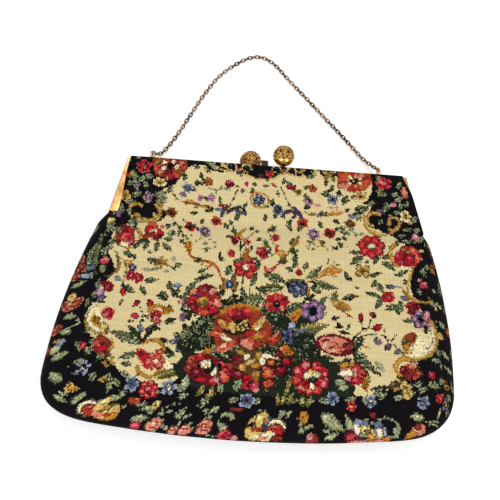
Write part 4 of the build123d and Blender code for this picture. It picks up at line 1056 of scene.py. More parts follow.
# Lower right of the bouquet: red flower with a cream heart, salmon carnation, pink rose
for turn in (-10, 28, 70, 110, 152, 195, 235, 268, 300, 335):
    x, y = mark(310, 378)
    ca, sa = math.cos(math.radians(turn)), math.sin(math.radians(turn))
    dab(x + 7.6 * ca, y + 6.8 * sa, 3.7, 2.9, turn, red)
    dab(x + 8.9 * ca, y + 8 * sa, 2, 1.2, turn + 90, (coral, salmon, pink)[turn % 3])
    dab(x + 5 * ca, y + 4.4 * sa, 2, 0.7, turn, deep_red)
dabs([
    (318, 370, 4.4, 2.2, -5, red), (311, 376.5, 4.8, 3.4, 0, straw), (313, 380, 3, 1.8, 0, leaf_dark),
    (306, 376, 1.9, 2.1, 0, pale_cream), (316, 375, 2.6, 1.5, -10, cream),
    (312, 387, 1.2, 2, 20, pale_cream), (311, 366, 0.8, 2.8, -20, ink)])
patch(marks([(315, 342), (320, 336), (331, 334), (343, 337), (352, 341), (352, 354), (340, 357),
        (328, 355), (320, 351), (316, 347)]), deep_red)
patch(marks([(319, 342), (324, 337), (334, 337), (344, 340), (348, 345), (342, 353), (330, 353),
        (321, 348)]), salmon)
dabs([
    (326, 341, 3.4, 0.7, 15, deep_red), (335, 344, 3, 0.6, -20, brick),
    (331, 348, 2.4, 0.6, 10, deep_red), (324, 346, 1.8, 0.7, 60, pale_cream),
    (329, 339, 2.2, 0.7, 10, pink), (338, 348, 2.6, 0.7, -20, coral), (341, 352, 2.2, 0.6, 10, brick),
    (333, 351, 2, 0.6, 20, cream), (344, 346, 1.4, 1.4, 0, brick), (349, 349, 2.6, 3.6, 10, deep_red),
    (350, 346, 1.2, 2.2, 10, brick)])
leaves([
    (352, 352, 10.5, 4.6, 60, leaf_dark, leaf_mid), (353, 349, 17.5, 4.4, -45, leaf_dark, leaf_light),
    (352, 352, 20.5, 5.2, -58, leaf_dark, leaf_mid), (356, 356, 18, 2.8, -38, leaf_mid, leaf_light),
    (374, 362, 7.6, 3.4, -42, sage, leaf_pale)])
dab(*mark(366, 348), 2.8, 0.7, -20, amber)
petal_flower(*mark(354.5, 375), 6.6, 6, red, deep_red, rose, salmon, 20)
dabs([
    (345, 374, 4, 2.2, 10, pale_cream), (345, 370, 2.4, 0.9, 10, salmon),
    (347, 379, 2.4, 1.4, -20, pink), (350, 365, 2.6, 1.4, 30, amber), (344, 366, 2.6, 1.3, 20, amber),
    (356, 381, 3.2, 1.9, 10, red), (361, 372, 2.2, 1.6, -40, coral), (354, 371, 1.7, 1.1, 0, pink)])
patch(marks([(361, 384), (365, 378), (368, 379), (368, 388), (367, 392), (362, 389)]), amber)
dabs([
    (364, 385, 1.5, 2.4, 20, ochre), (340, 383, 3.4, 1.8, -10, sage),
    (343, 388, 2.6, 1.3, 10, leaf_pale)])
# Branch with red and violet buds
thread(marks([(352, 342), (358, 334), (363, 330), (368, 328), (370, 320)]), 1, leaf_dark, 0.8)
thread(marks([(354, 339), (364, 336), (376, 335), (384, 336), (388, 341), (392, 340),
        (396, 335)]), 0.9, leaf_dark, 0.7)
thread(marks([(386, 338), (387, 344), (388, 347)]), 0.8, leaf_dark)
thread(marks([(362, 330), (361, 324), (360, 320)]), 0.7, leaf_dark)
thread(marks([(390, 341), (395, 346), (397, 352)]), 0.8, leaf_mid)
thread(marks([(366, 329), (374, 328)]), 0.7, leaf_dark)
dabs([
    (384, 331, 0.8, 1.1, 0, leaf_dark), (360, 318, 1.3, 2.2, 0, deep_red), (360, 317, 0.8, 1.3, 0, red),
    (372.5, 315.5, 1.7, 1.9, 40, deep_red), (377, 328, 3, 1.6, 30, red),
    (374, 329, 1.6, 1.2, 20, deep_red), (377, 342, 2.4, 1.6, -30, blue_grey),
    (378, 342, 1.4, 0.8, -30, violet), (387.5, 348, 1.7, 2.1, -40, plum),
    (397, 352, 2, 1.5, 30, blue_grey)])

# Right border: C scroll, violet flowers, the large scroll, small flowers on dark ground
leaves([
    (403, 322, 5.8, 2.8, 20, leaf_mid, leaf_light), (398, 304, 7, 3.6, 270, leaf_mid, leaf_light),
    (398, 306, 7.4, 2.2, 190, leaf_mid, leaf_light)])
thread(marks([(412, 268), (409, 280), (407, 292), (412, 300), (421, 303), (430, 302),
        (428, 298)]), 1.9, gold, 1.3)
thread(marks([(411, 270), (408, 284), (409, 295), (418, 302)]), 0.8, straw)
thread(marks([(402, 290), (406, 296), (408, 300)]), 1.6, ochre)
patch(marks([(412, 290), (418, 282), (426, 286), (429, 294), (424, 300), (415, 298)]), night)
dabs([(423, 286, 2.4, 2, 0, rose), (425, 284, 1.2, 0.9, 0, salmon), (419, 281, 1.3, 1, 0, pink)])
leaves([(421, 296, 5.6, 2.4, 120, leaf_mid, sage), (426, 270, 6, 2.4, 250, leaf_mid, sage)])
bloom(*mark(412.5, 309), 4.8, 5, red, deep_red, deep_red, brick, 20)
dab(*mark(409, 305), 1.9, 1.3, 20, red)
petal_flower(*mark(421, 320), 6.2, 6, violet, plum, pink, ink, 0)
dabs([(426, 316, 1.7, 3.1, -20, pink), (429, 324, 1.4, 1.8, 20, pink)])
leaf(*mark(425, 334), 4.8, 2.6, 90, leaf_dark, leaf_mid)
patch(marks([(402, 350), (401, 342), (408, 334), (418, 332), (424, 340), (432, 334), (434, 346),
        (428, 356), (414, 360), (404, 358)]), pale_cream)
thread(marks([(431, 322), (435, 332), (436, 344), (430, 355), (418, 360), (407, 359),
        (402, 353)]), 2.4, gold, 1.7)
thread(marks([(432, 324), (435, 338), (432, 350), (420, 358), (410, 358)]), 0.9, straw)
thread(marks([(429, 326), (432, 338), (430, 347), (424, 350)]), 0.6, brown)
thread(marks([(402, 354), (408, 361), (418, 362), (430, 358)]), 0.7, leaf_dark)
patch(marks([(401, 341), (405, 335), (412, 333), (417, 338), (413, 344), (409, 350), (406, 355),
        (402, 348)]), ochre)
dabs([
    (410, 336, 3, 1.5, 10, rust), (405, 342, 2.4, 1.7, 20, brown), (412, 341, 2.4, 1.1, 20, brick),
    (409, 352, 1.7, 1.4, 0, straw), (407, 346, 2, 1.3, 60, amber)])
curl(*mark(403, 370), 7, 70, 180, 2.6, amber, straw, ochre)
bloom(*mark(411, 372), 5.6, 6, coral, red, deep_red, rust, 10)
dabs([
    (403, 371, 2, 2.8, 20, deep_red), (407, 377, 2.4, 1.5, 0, brick), (418, 374, 2.4, 1.9, 0, rust),
    (412, 367, 2.2, 1.3, 20, salmon), (431.5, 375.5, 2.3, 2, 0, red), (430, 374, 1.2, 0.9, 0, pink)])
for x, y in marks([(403, 384), (408, 388), (404, 392), (400, 387), (409, 394), (397, 382), (406, 397)]):
    dab(x, y, 2, 1.6, 20, straw)
dabs([(394, 386, 3, 2.4, 20, brown), (396, 390, 2, 1.2, 20, gold), (405, 388, 0.9, 0.8, 0, ink)])
leaf(*mark(389, 388), 10, 3.6, 190, leaf_dark, leaf_mid)
dab(*mark(438, 336), 0.9, 1.2, 0, straw)

# Foot of the front: blue-white and red flowers and striped sepals on the dark ground
for x, y, size, one, two, three in marks([(131, 384, 4.4, sky, blue_grey, slate),
        (168, 388, 4.4, sky, blue_grey, pale_cream), (246, 401, 4.4, sky, blue_grey, slate),
        (331.7, 399, 4, sky, blue_grey, slate), (370, 402, 3.4, sky, blue_grey, pale_cream),
        (422.8, 403, 3.8, sky, blue_grey, sage)]):
    bloom(x, y, size, 5, one, two, slate, three, size * 17)
petal_flower(*mark(148, 389.5), 5.4, 6, red, deep_red, salmon, pink, 20)
blooms([
    (351, 407, 3, 5, coral, red, deep_red, straw), (440, 399, 3, 5, coral, red, deep_red, salmon)])
dab(*mark(243, 386), 2.2, 1.3, 10, red)
leaves([
    (183, 390, 7.6, 4, 80, sage, leaf_pale, pale_cream),
    (232, 392, 8, 4.8, 60, leaf_mid, sage, leaf_pale),
    (220, 396, 6.6, 3.4, 100, leaf_mid, sage, leaf_pale)])
for x, y, turn in marks([(195, 397, 50), (199, 396, 75), (204, 397, 20), (209, 399, 80), (277, 406, 100),
        (281, 406, 80), (286, 404, 60), (302, 408, 100), (306, 408, 70), (286, 396, 90), (288, 390, 90)]):
    leaf(x, y, 6, 2, turn, moss, straw, cream)


# Gusset strip: black ground with leaves, butterflies, pansies and buttons, larger than the front's
band_chart[:] = night
band_chart *= 1 + yarn_lot.normal(0, 0.12, band_chart.shape[:2])[..., None]
sheet_on_loom.update(cells=band_chart, x=band_s, y=band_t, place=gusset_place)
for x, y, turn, long, wide in marks([(91, 236, 150, 8, 3.6), (106, 234, 10, 9, 4.6),
        (100, 246, 330, 8, 2.8), (90, 252, 90, 6.6, 3.6), (88, 262, 60, 6.6, 4),
        (90, 272, 40, 6.4, 3), (70, 288, 110, 9, 3.6), (92, 284, 60, 4.6, 2.2),
        (62, 319, 90, 6.6, 3.4), (60, 332, 70, 6.6, 3.6), (50, 352, 120, 7, 4.4),
        (50, 360, 90, 9, 4.8), (68, 366, 110, 6.6, 3.6), (50, 372, 30, 10.5, 5),
        (56, 390, 20, 6.6, 1.8), (52, 394, 10, 8, 2.4), (84, 392, 280, 8.4, 4.4),
        (106, 397, 0, 7.2, 4.4), (128, 418, 8, 11, 3.6), (132, 405, 10, 6.6, 2.4),
        (152, 408, 190, 6.6, 2.2), (205, 415, 40, 8.4, 2.8), (217, 423, 330, 9.6, 3.4),
        (227, 412, 330, 6, 3), (220, 418, 30, 5, 2), (277, 421, 60, 8.6, 3.2),
        (285, 420, 55, 8, 2.6), (298, 434, 30, 5.4, 3), (319, 414, 330, 16, 6.6),
        (345, 414, 290, 14.5, 5), (322, 440, 20, 9.6, 2.6), (303, 428, 20, 5, 1.6),
        (322, 432, 0, 5, 1.6), (396, 438, 80, 5.4, 3.4), (410, 416, 350, 8, 5.4),
        (418, 411, 120, 4, 2.4), (437, 420, 40, 6.6, 1.8), (258, 412, 60, 4, 2.6),
        (264, 412, 80, 3.6, 1.6), (180, 416, 90, 4.4, 1.8), (181, 418, 20, 5, 1.6),
        (180, 418, 160, 5, 1.6), (181, 420, 260, 4, 1.5), (178, 414, 50, 4, 1.5),
        (152, 437, 90, 3, 1.6), (438, 306, 250, 4, 2.8), (439, 322, 240, 5.6, 4),
        (441, 350, 250, 8.4, 3.2), (444, 366, 260, 8.4, 3.2), (432, 290, 250, 4.6, 2.4)]):
    leaf(x, y, long, wide, turn, leaf_mid, leaf_light, leaf_pale)
    leaf(x, y, long * 0.86, wide * 0.55, turn, sage, leaf_pale, cream)
# Tendrils and dotted rings
thread(marks([(62, 330), (72, 326), (78, 322), (75, 316)]), 0.7, leaf_pale)
for ring_x, ring_y, size_x, size_y in marks([(181, 416.6, 13, 6.6), (388, 428, 6.4, 4.6)]):
    for number in range(22):
        turn = math.radians(number * 360 / 22)
        dab(ring_x + size_x * math.cos(turn), ring_y + size_y * math.sin(turn), 0.9, 0.7, 20, sage)
for x, y in marks([(122, 407), (150, 414), (160, 414), (168, 412), (205, 411), (214, 411), (208, 418),
        (160, 421), (163, 427), (190, 425), (212, 437), (206, 436), (372, 424), (366, 421), (300, 426),
        (310, 427)]):
    dab(x, y, 1.4, 0.6, 10, sage)
# Butterflies at the left edge and at the foot, with orange-red wings edged in yellow
for x, y, turn, long in marks([(67, 306, 60, 6.4), (76, 303, 130, 6), (54, 330, 90, 6),
        (78, 258, 70, 6), (74, 276, 70, 5.6), (45, 352, 80, 5), (81, 266, 60, 4.4)]):
    dab(x, y, long * 0.72, 2.7, turn, salmon)
    dab(x, y, long * 0.58, 1.8, turn, brick)
    dab(x, y, long * 0.3, 0.8, turn, coral)
dabs([(71, 297, 2.2, 2.6, 0, straw), (72, 296, 1.1, 1.3, 0, salmon), (70, 303, 1.6, 0.8, 60, straw)])
for x, y, long, wide, colour in marks([(92, 261, 3, 1.6, sky), (90, 267, 3.4, 1.8, blue_grey),
        (86, 275, 3.4, 1.4, sky), (59, 343, 2.2, 2.6, blue_grey), (62, 341, 1.2, 1.6, sky),
        (54, 350, 2.6, 2.2, leaf_pale), (83, 270, 1.6, 1, ochre), (57, 340, 1.4, 1, gold),
        (97, 405, 2.6, 3.2, blue_grey), (97, 405, 1.1, 2.6, slate)]):
    dab(x, y, long, wide, 80, colour)
for number in range(9):
    x, y = mark(70.7, 388)
    turn = math.radians(number * 40)
    dab(x + 2.3 * math.cos(turn), y + 2.3 * math.sin(turn), 1.2, 1, number * 40, straw)
dab(*mark(70.7, 388), 1.9, 1.7, 0, amber)
for number in range(6):
    x, y = mark(303, 418)
    turn = math.radians(number * 60)
    dab(x + 1.9 * math.cos(turn), y + 1.7 * math.sin(turn), 1.3, 1.1, number * 60, amber)
# Pansy pairs: orange-red with a cream edge, and yellow
dabs([
    (87, 409, 5.6, 3.4, -20, pale_cream), (88, 411, 4.6, 2.6, -20, rust), (90, 411, 2.6, 1.2, -20, red),
    (101, 404, 2.6, 4, -10, straw), (108, 413, 4.6, 3.8, 20, straw), (105, 415, 4, 1, 10, rust),
    (95, 415, 3, 1.2, -10, salmon), (105, 409, 2.2, 1.4, 0, gold), (110, 417, 2.6, 1.4, 20, amber),
    (101, 411, 1.3, 1, 0, moss), (134, 401, 3.6, 1.9, -20, coral), (132, 401, 1.8, 1, -20, rust),
    (155, 405, 2.8, 2, -50, straw), (155, 405, 1.4, 0.9, -50, moss), (134, 426, 2.8, 1.8, 0, rose),
    (134, 426, 1, 0.7, 0, pink), (153, 425, 3.8, 3, 0, salmon), (172, 431, 2.4, 2.2, 0, salmon),
    (184, 431, 2.9, 2.4, 0, salmon), (203, 428, 3.6, 3.6, 0, salmon), (172, 432, 1.3, 1.2, 0, pink),
    (185, 433, 1.5, 1.1, 0, pink), (205, 431, 1.6, 1.2, 0, pink), (223, 437, 3.4, 2.6, 10, rose),
    (224, 436, 1.7, 1.3, 10, red), (233, 438, 2, 1.5, 0, pink), (236, 409, 4, 0.9, 0, brick),
    (255, 430, 6, 5.4, 0, straw), (255, 431, 4.8, 1.2, -10, rust), (256, 437, 3.8, 1, 0, pale_cream),
    (252, 425, 3, 1.1, 20, ink), (262, 420, 3.8, 3.2, 20, straw), (268, 425, 3, 4, 0, slate),
    (266, 421, 1.2, 1.6, 0, amber), (276, 427, 4.8, 3, -10, pale_cream), (275, 431, 4.6, 2.8, 0, rust),
    (276, 433, 2.8, 1.4, 0, red), (266, 437, 4, 2.4, 10, cream), (276, 439, 3.4, 1.4, 0, brick),
    (262, 439, 3, 1.2, 0, salmon), (311, 440, 3.2, 2.8, 0, brick), (309, 438, 1.5, 1.2, 0, pink),
    (372, 415, 1.8, 1.6, 20, brick), (352, 439, 4.6, 3.6, 0, deep_red), (350, 437, 2.6, 1.4, 10, rose),
    (355, 443, 5, 1.4, 0, salmon), (364, 444, 4, 1.4, 0, pink)])
for x, y, colour in marks([(153, 422, brick), (153, 427, brick), (203, 424, brick), (203, 428, rust),
        (203, 432, brick), (172, 429, brick), (184, 429, brick)]):
    dab(x, y, 3.2, 0.35, 0, colour)
# Blue-white and gold butterfly, and the last buds before the right corner
dabs([
    (359, 429, 3.4, 4.2, 20, sky), (357, 430, 1.9, 2.6, 20, pale_cream), (366, 431, 2.6, 3.4, 0, straw),
    (368, 434, 1.4, 1.8, 0, leaf_light), (373, 438, 3.4, 2.6, 20, amber), (375, 434, 2.2, 1.8, 0, straw),
    (380, 432, 3.2, 4, 0, sky), (379, 434, 1.8, 2.2, 0, pale_cream), (383, 440, 3.4, 1.8, 10, amber),
    (376, 443, 5, 1.4, 0, salmon), (378, 426, 2.2, 1.5, 0, blue_grey),
    (364, 424, 2.6, 1.1, 0, blue_grey), (418.5, 430, 4, 2.8, 30, salmon),
    (418, 428, 2, 1.5, 30, brick), (410, 436, 3.4, 1.6, 20, amber), (441, 337, 2.2, 2.4, 0, straw),
    (441, 337, 1.1, 1.2, 0, amber), (434, 309, 1.9, 2.2, 0, straw), (437, 305, 1.1, 1.3, 0, leaf_pale)])

# Large pale leaves that climb the left side up to the hinge
leaves([
    (90, 266, 15, 9, 182, leaf_dark, leaf_light, leaf_pale),
    (99, 250, 9, 4.2, 168, leaf_dark, sage, leaf_pale),
    (101, 244, 8, 3.8, 196, leaf_dark, leaf_light, leaf_pale),
    (86, 262, 7, 3.2, 160, leaf_dark, sage, leaf_pale)])

# Round the sides that lie away from the foot, the same motifs follow each other at random
filler = np.random.default_rng(21)
for number in range(420):
    x, y = 8 + 446 * filler.random(), 3 + 25 * filler.random()
    cells, _, _ = around(x, y, 4.2)
    if (x > 330 or y < 8.5) and cells.size and cells.mean() < 0.012:
        if number % 4 < 2:
            leaf(x, y, 5 + 4 * filler.random(), 3.2, 360 * filler.random(), leaf_dark,
                 (sage, leaf_light)[number % 2], leaf_pale)
        else:
            hue = (red, rose, amber, blue_grey, lilac, coral)[number % 6]
            bloom(x, y, 2.2 + 1.6 * filler.random(), 5, hue, deep_red if hue is red else brown, ink, straw,
                  number * 7)

# Front cloth: one panel of tapestry that covers the front half of the frame and fills out over
# the pouch. Its edge is turned under round the frame and drawn into the seam with the gusset.
front_columns, front_rows = 340, 236
lower_outline, _ = outline(0.0, 1401)
foot_left = int(np.argmin(np.hypot(*(lower_outline - (-104.5, -106.2)).T)))
foot_right = 1400 - foot_left


def evenly(line, count):
    """The same line with evenly spread points."""
    steps = np.concatenate(((0,), np.cumsum(np.hypot(*np.diff(line, axis=0).T))))
    at = np.linspace(0, steps[-1], count)
    return np.stack((np.interp(at, steps, line[:, 0]), np.interp(at, steps, line[:, 1])), 1)


def arm_edge(side):
    """Cloth edge from the top of the frame down to the hinge, a little inside the metal."""
    y = np.linspace(frame_top, pouch_top + 0.5, 60)
    if side < 0:
        margin = 1.9 + 3.4 * smooth((frame_top - y) / 34.0)
    else:
        margin = 0.3 + 2.4 * smooth((y - 27.0) / 13.0)
    return np.stack((side * (frame_side(y) - margin), y), 1)


left_line = evenly(np.concatenate((arm_edge(-1), lower_outline[:foot_left + 1])), front_rows)
right_line = evenly(np.concatenate((arm_edge(1), lower_outline[:foot_right - 1:-1])), front_rows)
foot_line = evenly(lower_outline[foot_left:foot_right + 1], front_columns)
top_line = np.linspace(left_line[0], right_line[0], front_columns)
u = np.linspace(0, 1, front_columns)[None, :, None]
v = np.linspace(0, 1, front_rows)[:, None, None]
flat = ((1 - v) * top_line[None] + v * foot_line[None]
        + (1 - u) * left_line[:, None] + u * right_line[:, None]
        - (1 - u) * (1 - v) * top_line[0] - u * (1 - v) * top_line[-1]
        - (1 - u) * v * foot_line[0] - u * v * foot_line[-1])


def rim_of(grid):
    """Boundary of a grid of points, once round."""
    return np.concatenate((grid[0, :-1], grid[:-1, -1], grid[-1, :0:-1], grid[:0:-1, 0]))


def grid_faces(rows, columns, start=0):
    """Quads of a grid, wound so that they face up when rows run down and columns run right."""
    corner = start + np.arange((rows - 1) * columns).reshape(rows - 1, columns)[:, :-1]
    return np.stack((corner, corner + columns, corner + columns + 1, corner + 1), -1).reshape(-1, 4)


def front_place(points):
    """Row-frame places of front points given flat on the pattern."""
    x, y = points[..., 0], points[..., 1]
    return row_points(x + lean(y, 1.0) * smooth((pouch_top + 3 - y) / 12.0), y, front_height(x, y))


rim = rim_of(flat)
rim_normal = np.roll(rim, -1, 0) - np.roll(rim, 1, 0)
rim_normal = np.stack((-rim_normal[:, 1], rim_normal[:, 0]), 1)
rim_normal /= np.maximum(np.linalg.norm(rim_normal, axis=1, keepdims=True), 1e-9)
rim_base = front_place(rim)
hem_rings = []
for out, drop in ((0.30, 0.35), (0.34, 0.85), (0.0, 1.15), (-1.6, 1.15)):
    ring = rim_base.copy()
    ring[:, :2] += rim_normal * out * 0.001
    ring[:, 2] -= drop * 0.001
    hem_rings.append(ring)
front_points = np.concatenate([front_place(flat)] + hem_rings)
front_faces = [grid_faces(front_rows, front_columns)]
index = np.arange(front_rows * front_columns).reshape(front_rows, front_columns)
previous = rim_of(index)
for number in range(len(hem_rings)):
    ring_index = front_rows * front_columns + number * len(previous) + np.arange(len(previous))
    front_faces.append(np.stack((previous, np.roll(previous, -1), np.roll(ring_index, -1), ring_index), 1))
    previous = ring_index
front_faces = np.concatenate(front_faces)
front_cloth = plain_mesh("front_cloth", front_points, front_faces, None)
flat_of_point = np.concatenate([flat.reshape(-1, 2)] + [rim] * len(hem_rings))


def ragged(chart, odds):
    """Lets single stitches take their neighbour's yarn, as a loom's steps break up every edge."""
    rows, columns = chart.shape[:2]
    down = yarn_lot.choice((-1, 0, 1), (rows, columns), p=(odds, 1 - 2 * odds, odds))
    along = yarn_lot.choice((-1, 0, 1), (rows, columns), p=(odds, 1 - 2 * odds, odds))
    row, column = np.mgrid[0:rows, 0:columns]
    return chart[np.clip(row + down, 0, rows - 1), np.clip(column + along, 0, columns - 1)]


def dye(cloth, chart, columns, rows, places, faces):
    """Gives every face one stitch of the chart, and every corner its place on the pattern."""
    middles = places[faces].mean(axis=1)
    column = np.clip(np.searchsorted(columns, middles[:, 0]) - 1, 0, len(columns) - 1)
    row = np.clip(np.searchsorted(rows, middles[:, 1]) - 1, 0, len(rows) - 1)
    colours = np.ones((len(faces), 4, 4), np.float32)
    colours[:, :, :3] = np.clip(chart[row, column], 0.0, 1.0)[:, None, :]
    attribute = cloth.data.color_attributes.new("yarn", "FLOAT_COLOR", "CORNER")
    attribute.data.foreach_set("color", colours.ravel())
    layer = cloth.data.uv_layers.new(name="pattern_mm")
    layer.data.foreach_set("uv", places[faces].astype(np.float32).ravel())


front_chart = ragged(front_chart, 0.08)
band_chart = ragged(band_chart, 0.08)
# Painted shade: the gusset's first 2 mm beside the front seam are darkened to 30 per cent, for the shadow in
# the seam's groove.
band_chart[band_t < 2.0] *= 0.3
dye(front_cloth, front_chart, chart_x, chart_y, flat_of_point, front_faces)

# Tapestry yarn: matt cotton and wool with a fine rib; the bump follows the rows of the weave, and the colour
# carries painted shade, darker in the dips between the ribs and lighter on their crests.
weave = bpy.data.node_groups.new("tapestry_weave", "ShaderNodeTree")
weave.interface.new_socket("Rib", in_out="INPUT", socket_type="NodeSocketFloat")
weave.interface.new_socket("Painted Shade", in_out="OUTPUT", socket_type="NodeSocketFloat")
weave.interface.new_socket("Height", in_out="OUTPUT", socket_type="NodeSocketFloat")
into = weave.nodes.new("NodeGroupInput")
out_of = weave.nodes.new("NodeGroupOutput")
uv = weave.nodes.new("ShaderNodeUVMap")
uv.uv_map = "pattern_mm"
split_uv = weave.nodes.new("ShaderNodeSeparateXYZ")
weave.links.new(uv.outputs["UV"], split_uv.inputs[0])


def sum_node(tree, operation, first, second=None, clamp=False):
    """A math node on sockets or numbers; returns its result socket."""
    node = tree.nodes.new("ShaderNodeMath")
    node.operation = operation
    node.use_clamp = clamp
    for socket, value in ((node.inputs[0], first), (node.inputs[1], second)):
        if value is None:
            continue
        if isinstance(value, (int, float)):
            socket.default_value = value
        else:
            tree.links.new(value, socket)
    return node.outputs[0]


across = sum_node(weave, "MULTIPLY", split_uv.outputs["X"], into.outputs["Rib"])
along = sum_node(weave, "MULTIPLY", across, 0.5)
upward = sum_node(weave, "MULTIPLY", split_uv.outputs["Y"], into.outputs["Rib"])
half_row = sum_node(weave, "MULTIPLY", sum_node(weave, "FLOOR", upward), math.pi)
rib = sum_node(weave, "ABSOLUTE", sum_node(weave, "SINE", sum_node(
    weave, "ADD", sum_node(weave, "MULTIPLY", along, math.pi), half_row)))
row_wave = sum_node(weave, "ABSOLUTE", sum_node(weave, "SINE", sum_node(weave, "MULTIPLY", upward, math.pi)))
height = sum_node(weave, "MULTIPLY", rib, row_wave)
fuzz = weave.nodes.new("ShaderNodeTexNoise")
fuzz.inputs["Scale"].default_value = 1.7
fuzz.inputs["Detail"].default_value = 3.0
weave.links.new(uv.outputs["UV"], fuzz.inputs["Vector"])
uneven = sum_node(weave, "MULTIPLY_ADD", fuzz.outputs["Fac"], 0.5)
uneven.node.inputs[2].default_value = 0.75
weave.links.new(sum_node(weave, "MULTIPLY", height, uneven), out_of.inputs["Height"])
# Painted shade and light: the yarn colour is multiplied by 0.82 in the dips between the ribs, up to 1.12 on
# their crests.
painted_rib_shade = sum_node(weave, "MULTIPLY_ADD", height, 0.3)
painted_rib_shade.node.inputs[2].default_value = 0.82
weave.links.new(painted_rib_shade, out_of.inputs["Painted Shade"])


def tapestry_paint(name, ribs_per_mm):
    """Matt yarn in the colour of each stitch, with the rib of the weave and painted shade in the dips
    between the ribs.
    """
    material, nodes, links = new_material(name)
    shader = nodes["Principled BSDF"]
    yarn = nodes.new("ShaderNodeVertexColor")
    yarn.layer_name = "yarn"
    group = nodes.new("ShaderNodeGroup")
    group.node_tree = weave
    group.inputs["Rib"].default_value = ribs_per_mm
    tint = nodes.new("ShaderNodeMix")
    tint.data_type = "RGBA"
    tint.blend_type = "MULTIPLY"
    tint.inputs["Factor"].default_value = 1.0
    links.new(yarn.outputs["Color"], tint.inputs[6])
    links.new(group.outputs["Painted Shade"], tint.inputs[7])
    links.new(tint.outputs[2], shader.inputs["Base Color"])
    bump = nodes.new("ShaderNodeBump")
    bump.inputs["Strength"].default_value = 0.5
    bump.inputs["Distance"].default_value = 0.0003
    links.new(group.outputs["Height"], bump.inputs["Height"])
    links.new(bump.outputs["Normal"], shader.inputs["Normal"])
    shader.inputs["Roughness"].default_value = 0.86
    shader.inputs["Specular IOR Level"].default_value = 0.07
    shader.inputs["Sheen Weight"].default_value = 0.03
    shader.inputs["Sheen Roughness"].default_value = 0.5
    return material


front_paint = tapestry_paint("tapestry_front", 1.6)
front_cloth.data.materials.append(front_paint)
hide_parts("front_cover", "front_panel")
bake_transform(front_cloth)
# Gusset: one long strip of the same tapestry, sewn between the back and the front from hinge to
# hinge. It rolls out between the two seams, and hangs over the arms' ends at the top.
strip_columns, strip_rows = 720, 44
strip_rolls, strip_shares, strip_width = strip_profile(strip_rows)
strip_points = np.zeros((strip_rows, strip_columns, 3))
strip_places = np.zeros((strip_rows, strip_columns, 2))
strip_run = np.linspace(0, 460.0, strip_columns)
for row, (roll, share) in enumerate(zip(strip_rolls, strip_shares)):
    line, _ = outline(roll, strip_columns, 0.045)
    x, y = line[:, 0], line[:, 1]
    z = 7.6 + share * (seam_height(y) - 7.6)
    fade = math.sin(math.pi * row / (strip_rows - 1))
    pucker = 0.35 * np.sin(strip_run / 4.8 + 3 * np.sin(strip_run / 27.0)) * fade * share
    strip_points[row] = row_points(x + lean(y, share), y, z + pucker)
    strip_places[row, :, 0] = strip_run
    strip_places[row, :, 1] = strip_width * (1 - row / (strip_rows - 1))
strip_faces = grid_faces(strip_rows, strip_columns)
gusset_cloth = plain_mesh("gusset_cloth", strip_points.reshape(-1, 3), strip_faces[:, ::-1], "bag")
dye(gusset_cloth, band_chart, band_s, band_t, strip_places.reshape(-1, 2), strip_faces[:, ::-1])
gusset_paint = tapestry_paint("tapestry_gusset", 1.6)
gusset_cloth.data.materials.append(gusset_paint)
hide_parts("gusset")

# Back cloth: plain dark tapestry that covers the back of the frame and carries the bag's weight,
# flat where it rests. It is cut in one piece and sewn to the gusset all round.
back_columns, back_rows = 200, 150
back_left = evenly(np.concatenate((arm_edge(-1) - (-1, 0), lower_outline[:foot_left + 1])), back_rows)
back_right = evenly(np.concatenate((arm_edge(1) - (1.5, 0), lower_outline[:foot_right - 1:-1])), back_rows)
back_foot = evenly(lower_outline[foot_left:foot_right + 1], back_columns)
back_top = np.linspace(back_left[0], back_right[0], back_columns)
u = np.linspace(0, 1, back_columns)[None, :, None]
v = np.linspace(0, 1, back_rows)[:, None, None]
back_flat = ((1 - v) * back_top[None] + v * back_foot[None]
             + (1 - u) * back_left[:, None] + u * back_right[:, None]
             - (1 - u) * (1 - v) * back_top[0] - u * (1 - v) * back_top[-1]
             - (1 - u) * v * back_foot[0] - u * v * back_foot[-1])


def back_height(x, y):
    """Under side of the bag: 6.4 mm up at the frame, flat on the table, 7.6 mm up at the seam."""
    side = np.clip((edge_half_width(y) - np.abs(x)) / 14.0, 0, 1)
    foot = np.clip((y - (seam_corner - seam_sag * (1 - (x / 111.0) ** 2))) / 14.0, 0, 1)
    head = np.clip((pouch_top - y) / 20.0, 0, 1)
    near = (1 - side) ** 2.2 + (1 - foot) ** 2.2 + (1 - head) ** 2.0
    bowl = 7.6 * np.clip(near, 0, 1) ** 0.9
    return np.where(y > pouch_top, 6.4, np.minimum(bowl, 7.6 - 1.2 * smooth((y + 4) / 7) * smooth(side * 3)))


back_x, back_y = back_flat[..., 0], back_flat[..., 1]
back_z = back_height(back_x, back_y)
back_points = row_points(back_x + lean(back_y, 0.0) * smooth((3 - back_y) / 12.0), back_y, back_z)
back_faces = grid_faces(back_rows, back_columns)[:, ::-1]
back_cloth = plain_mesh("back_cloth", back_points, back_faces, "bag")
dye(back_cloth, front_chart, chart_x, chart_y, back_flat.reshape(-1, 2) * (-1, 1), back_faces)
back_cloth.data.materials.append(front_paint)
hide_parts("back_panel")

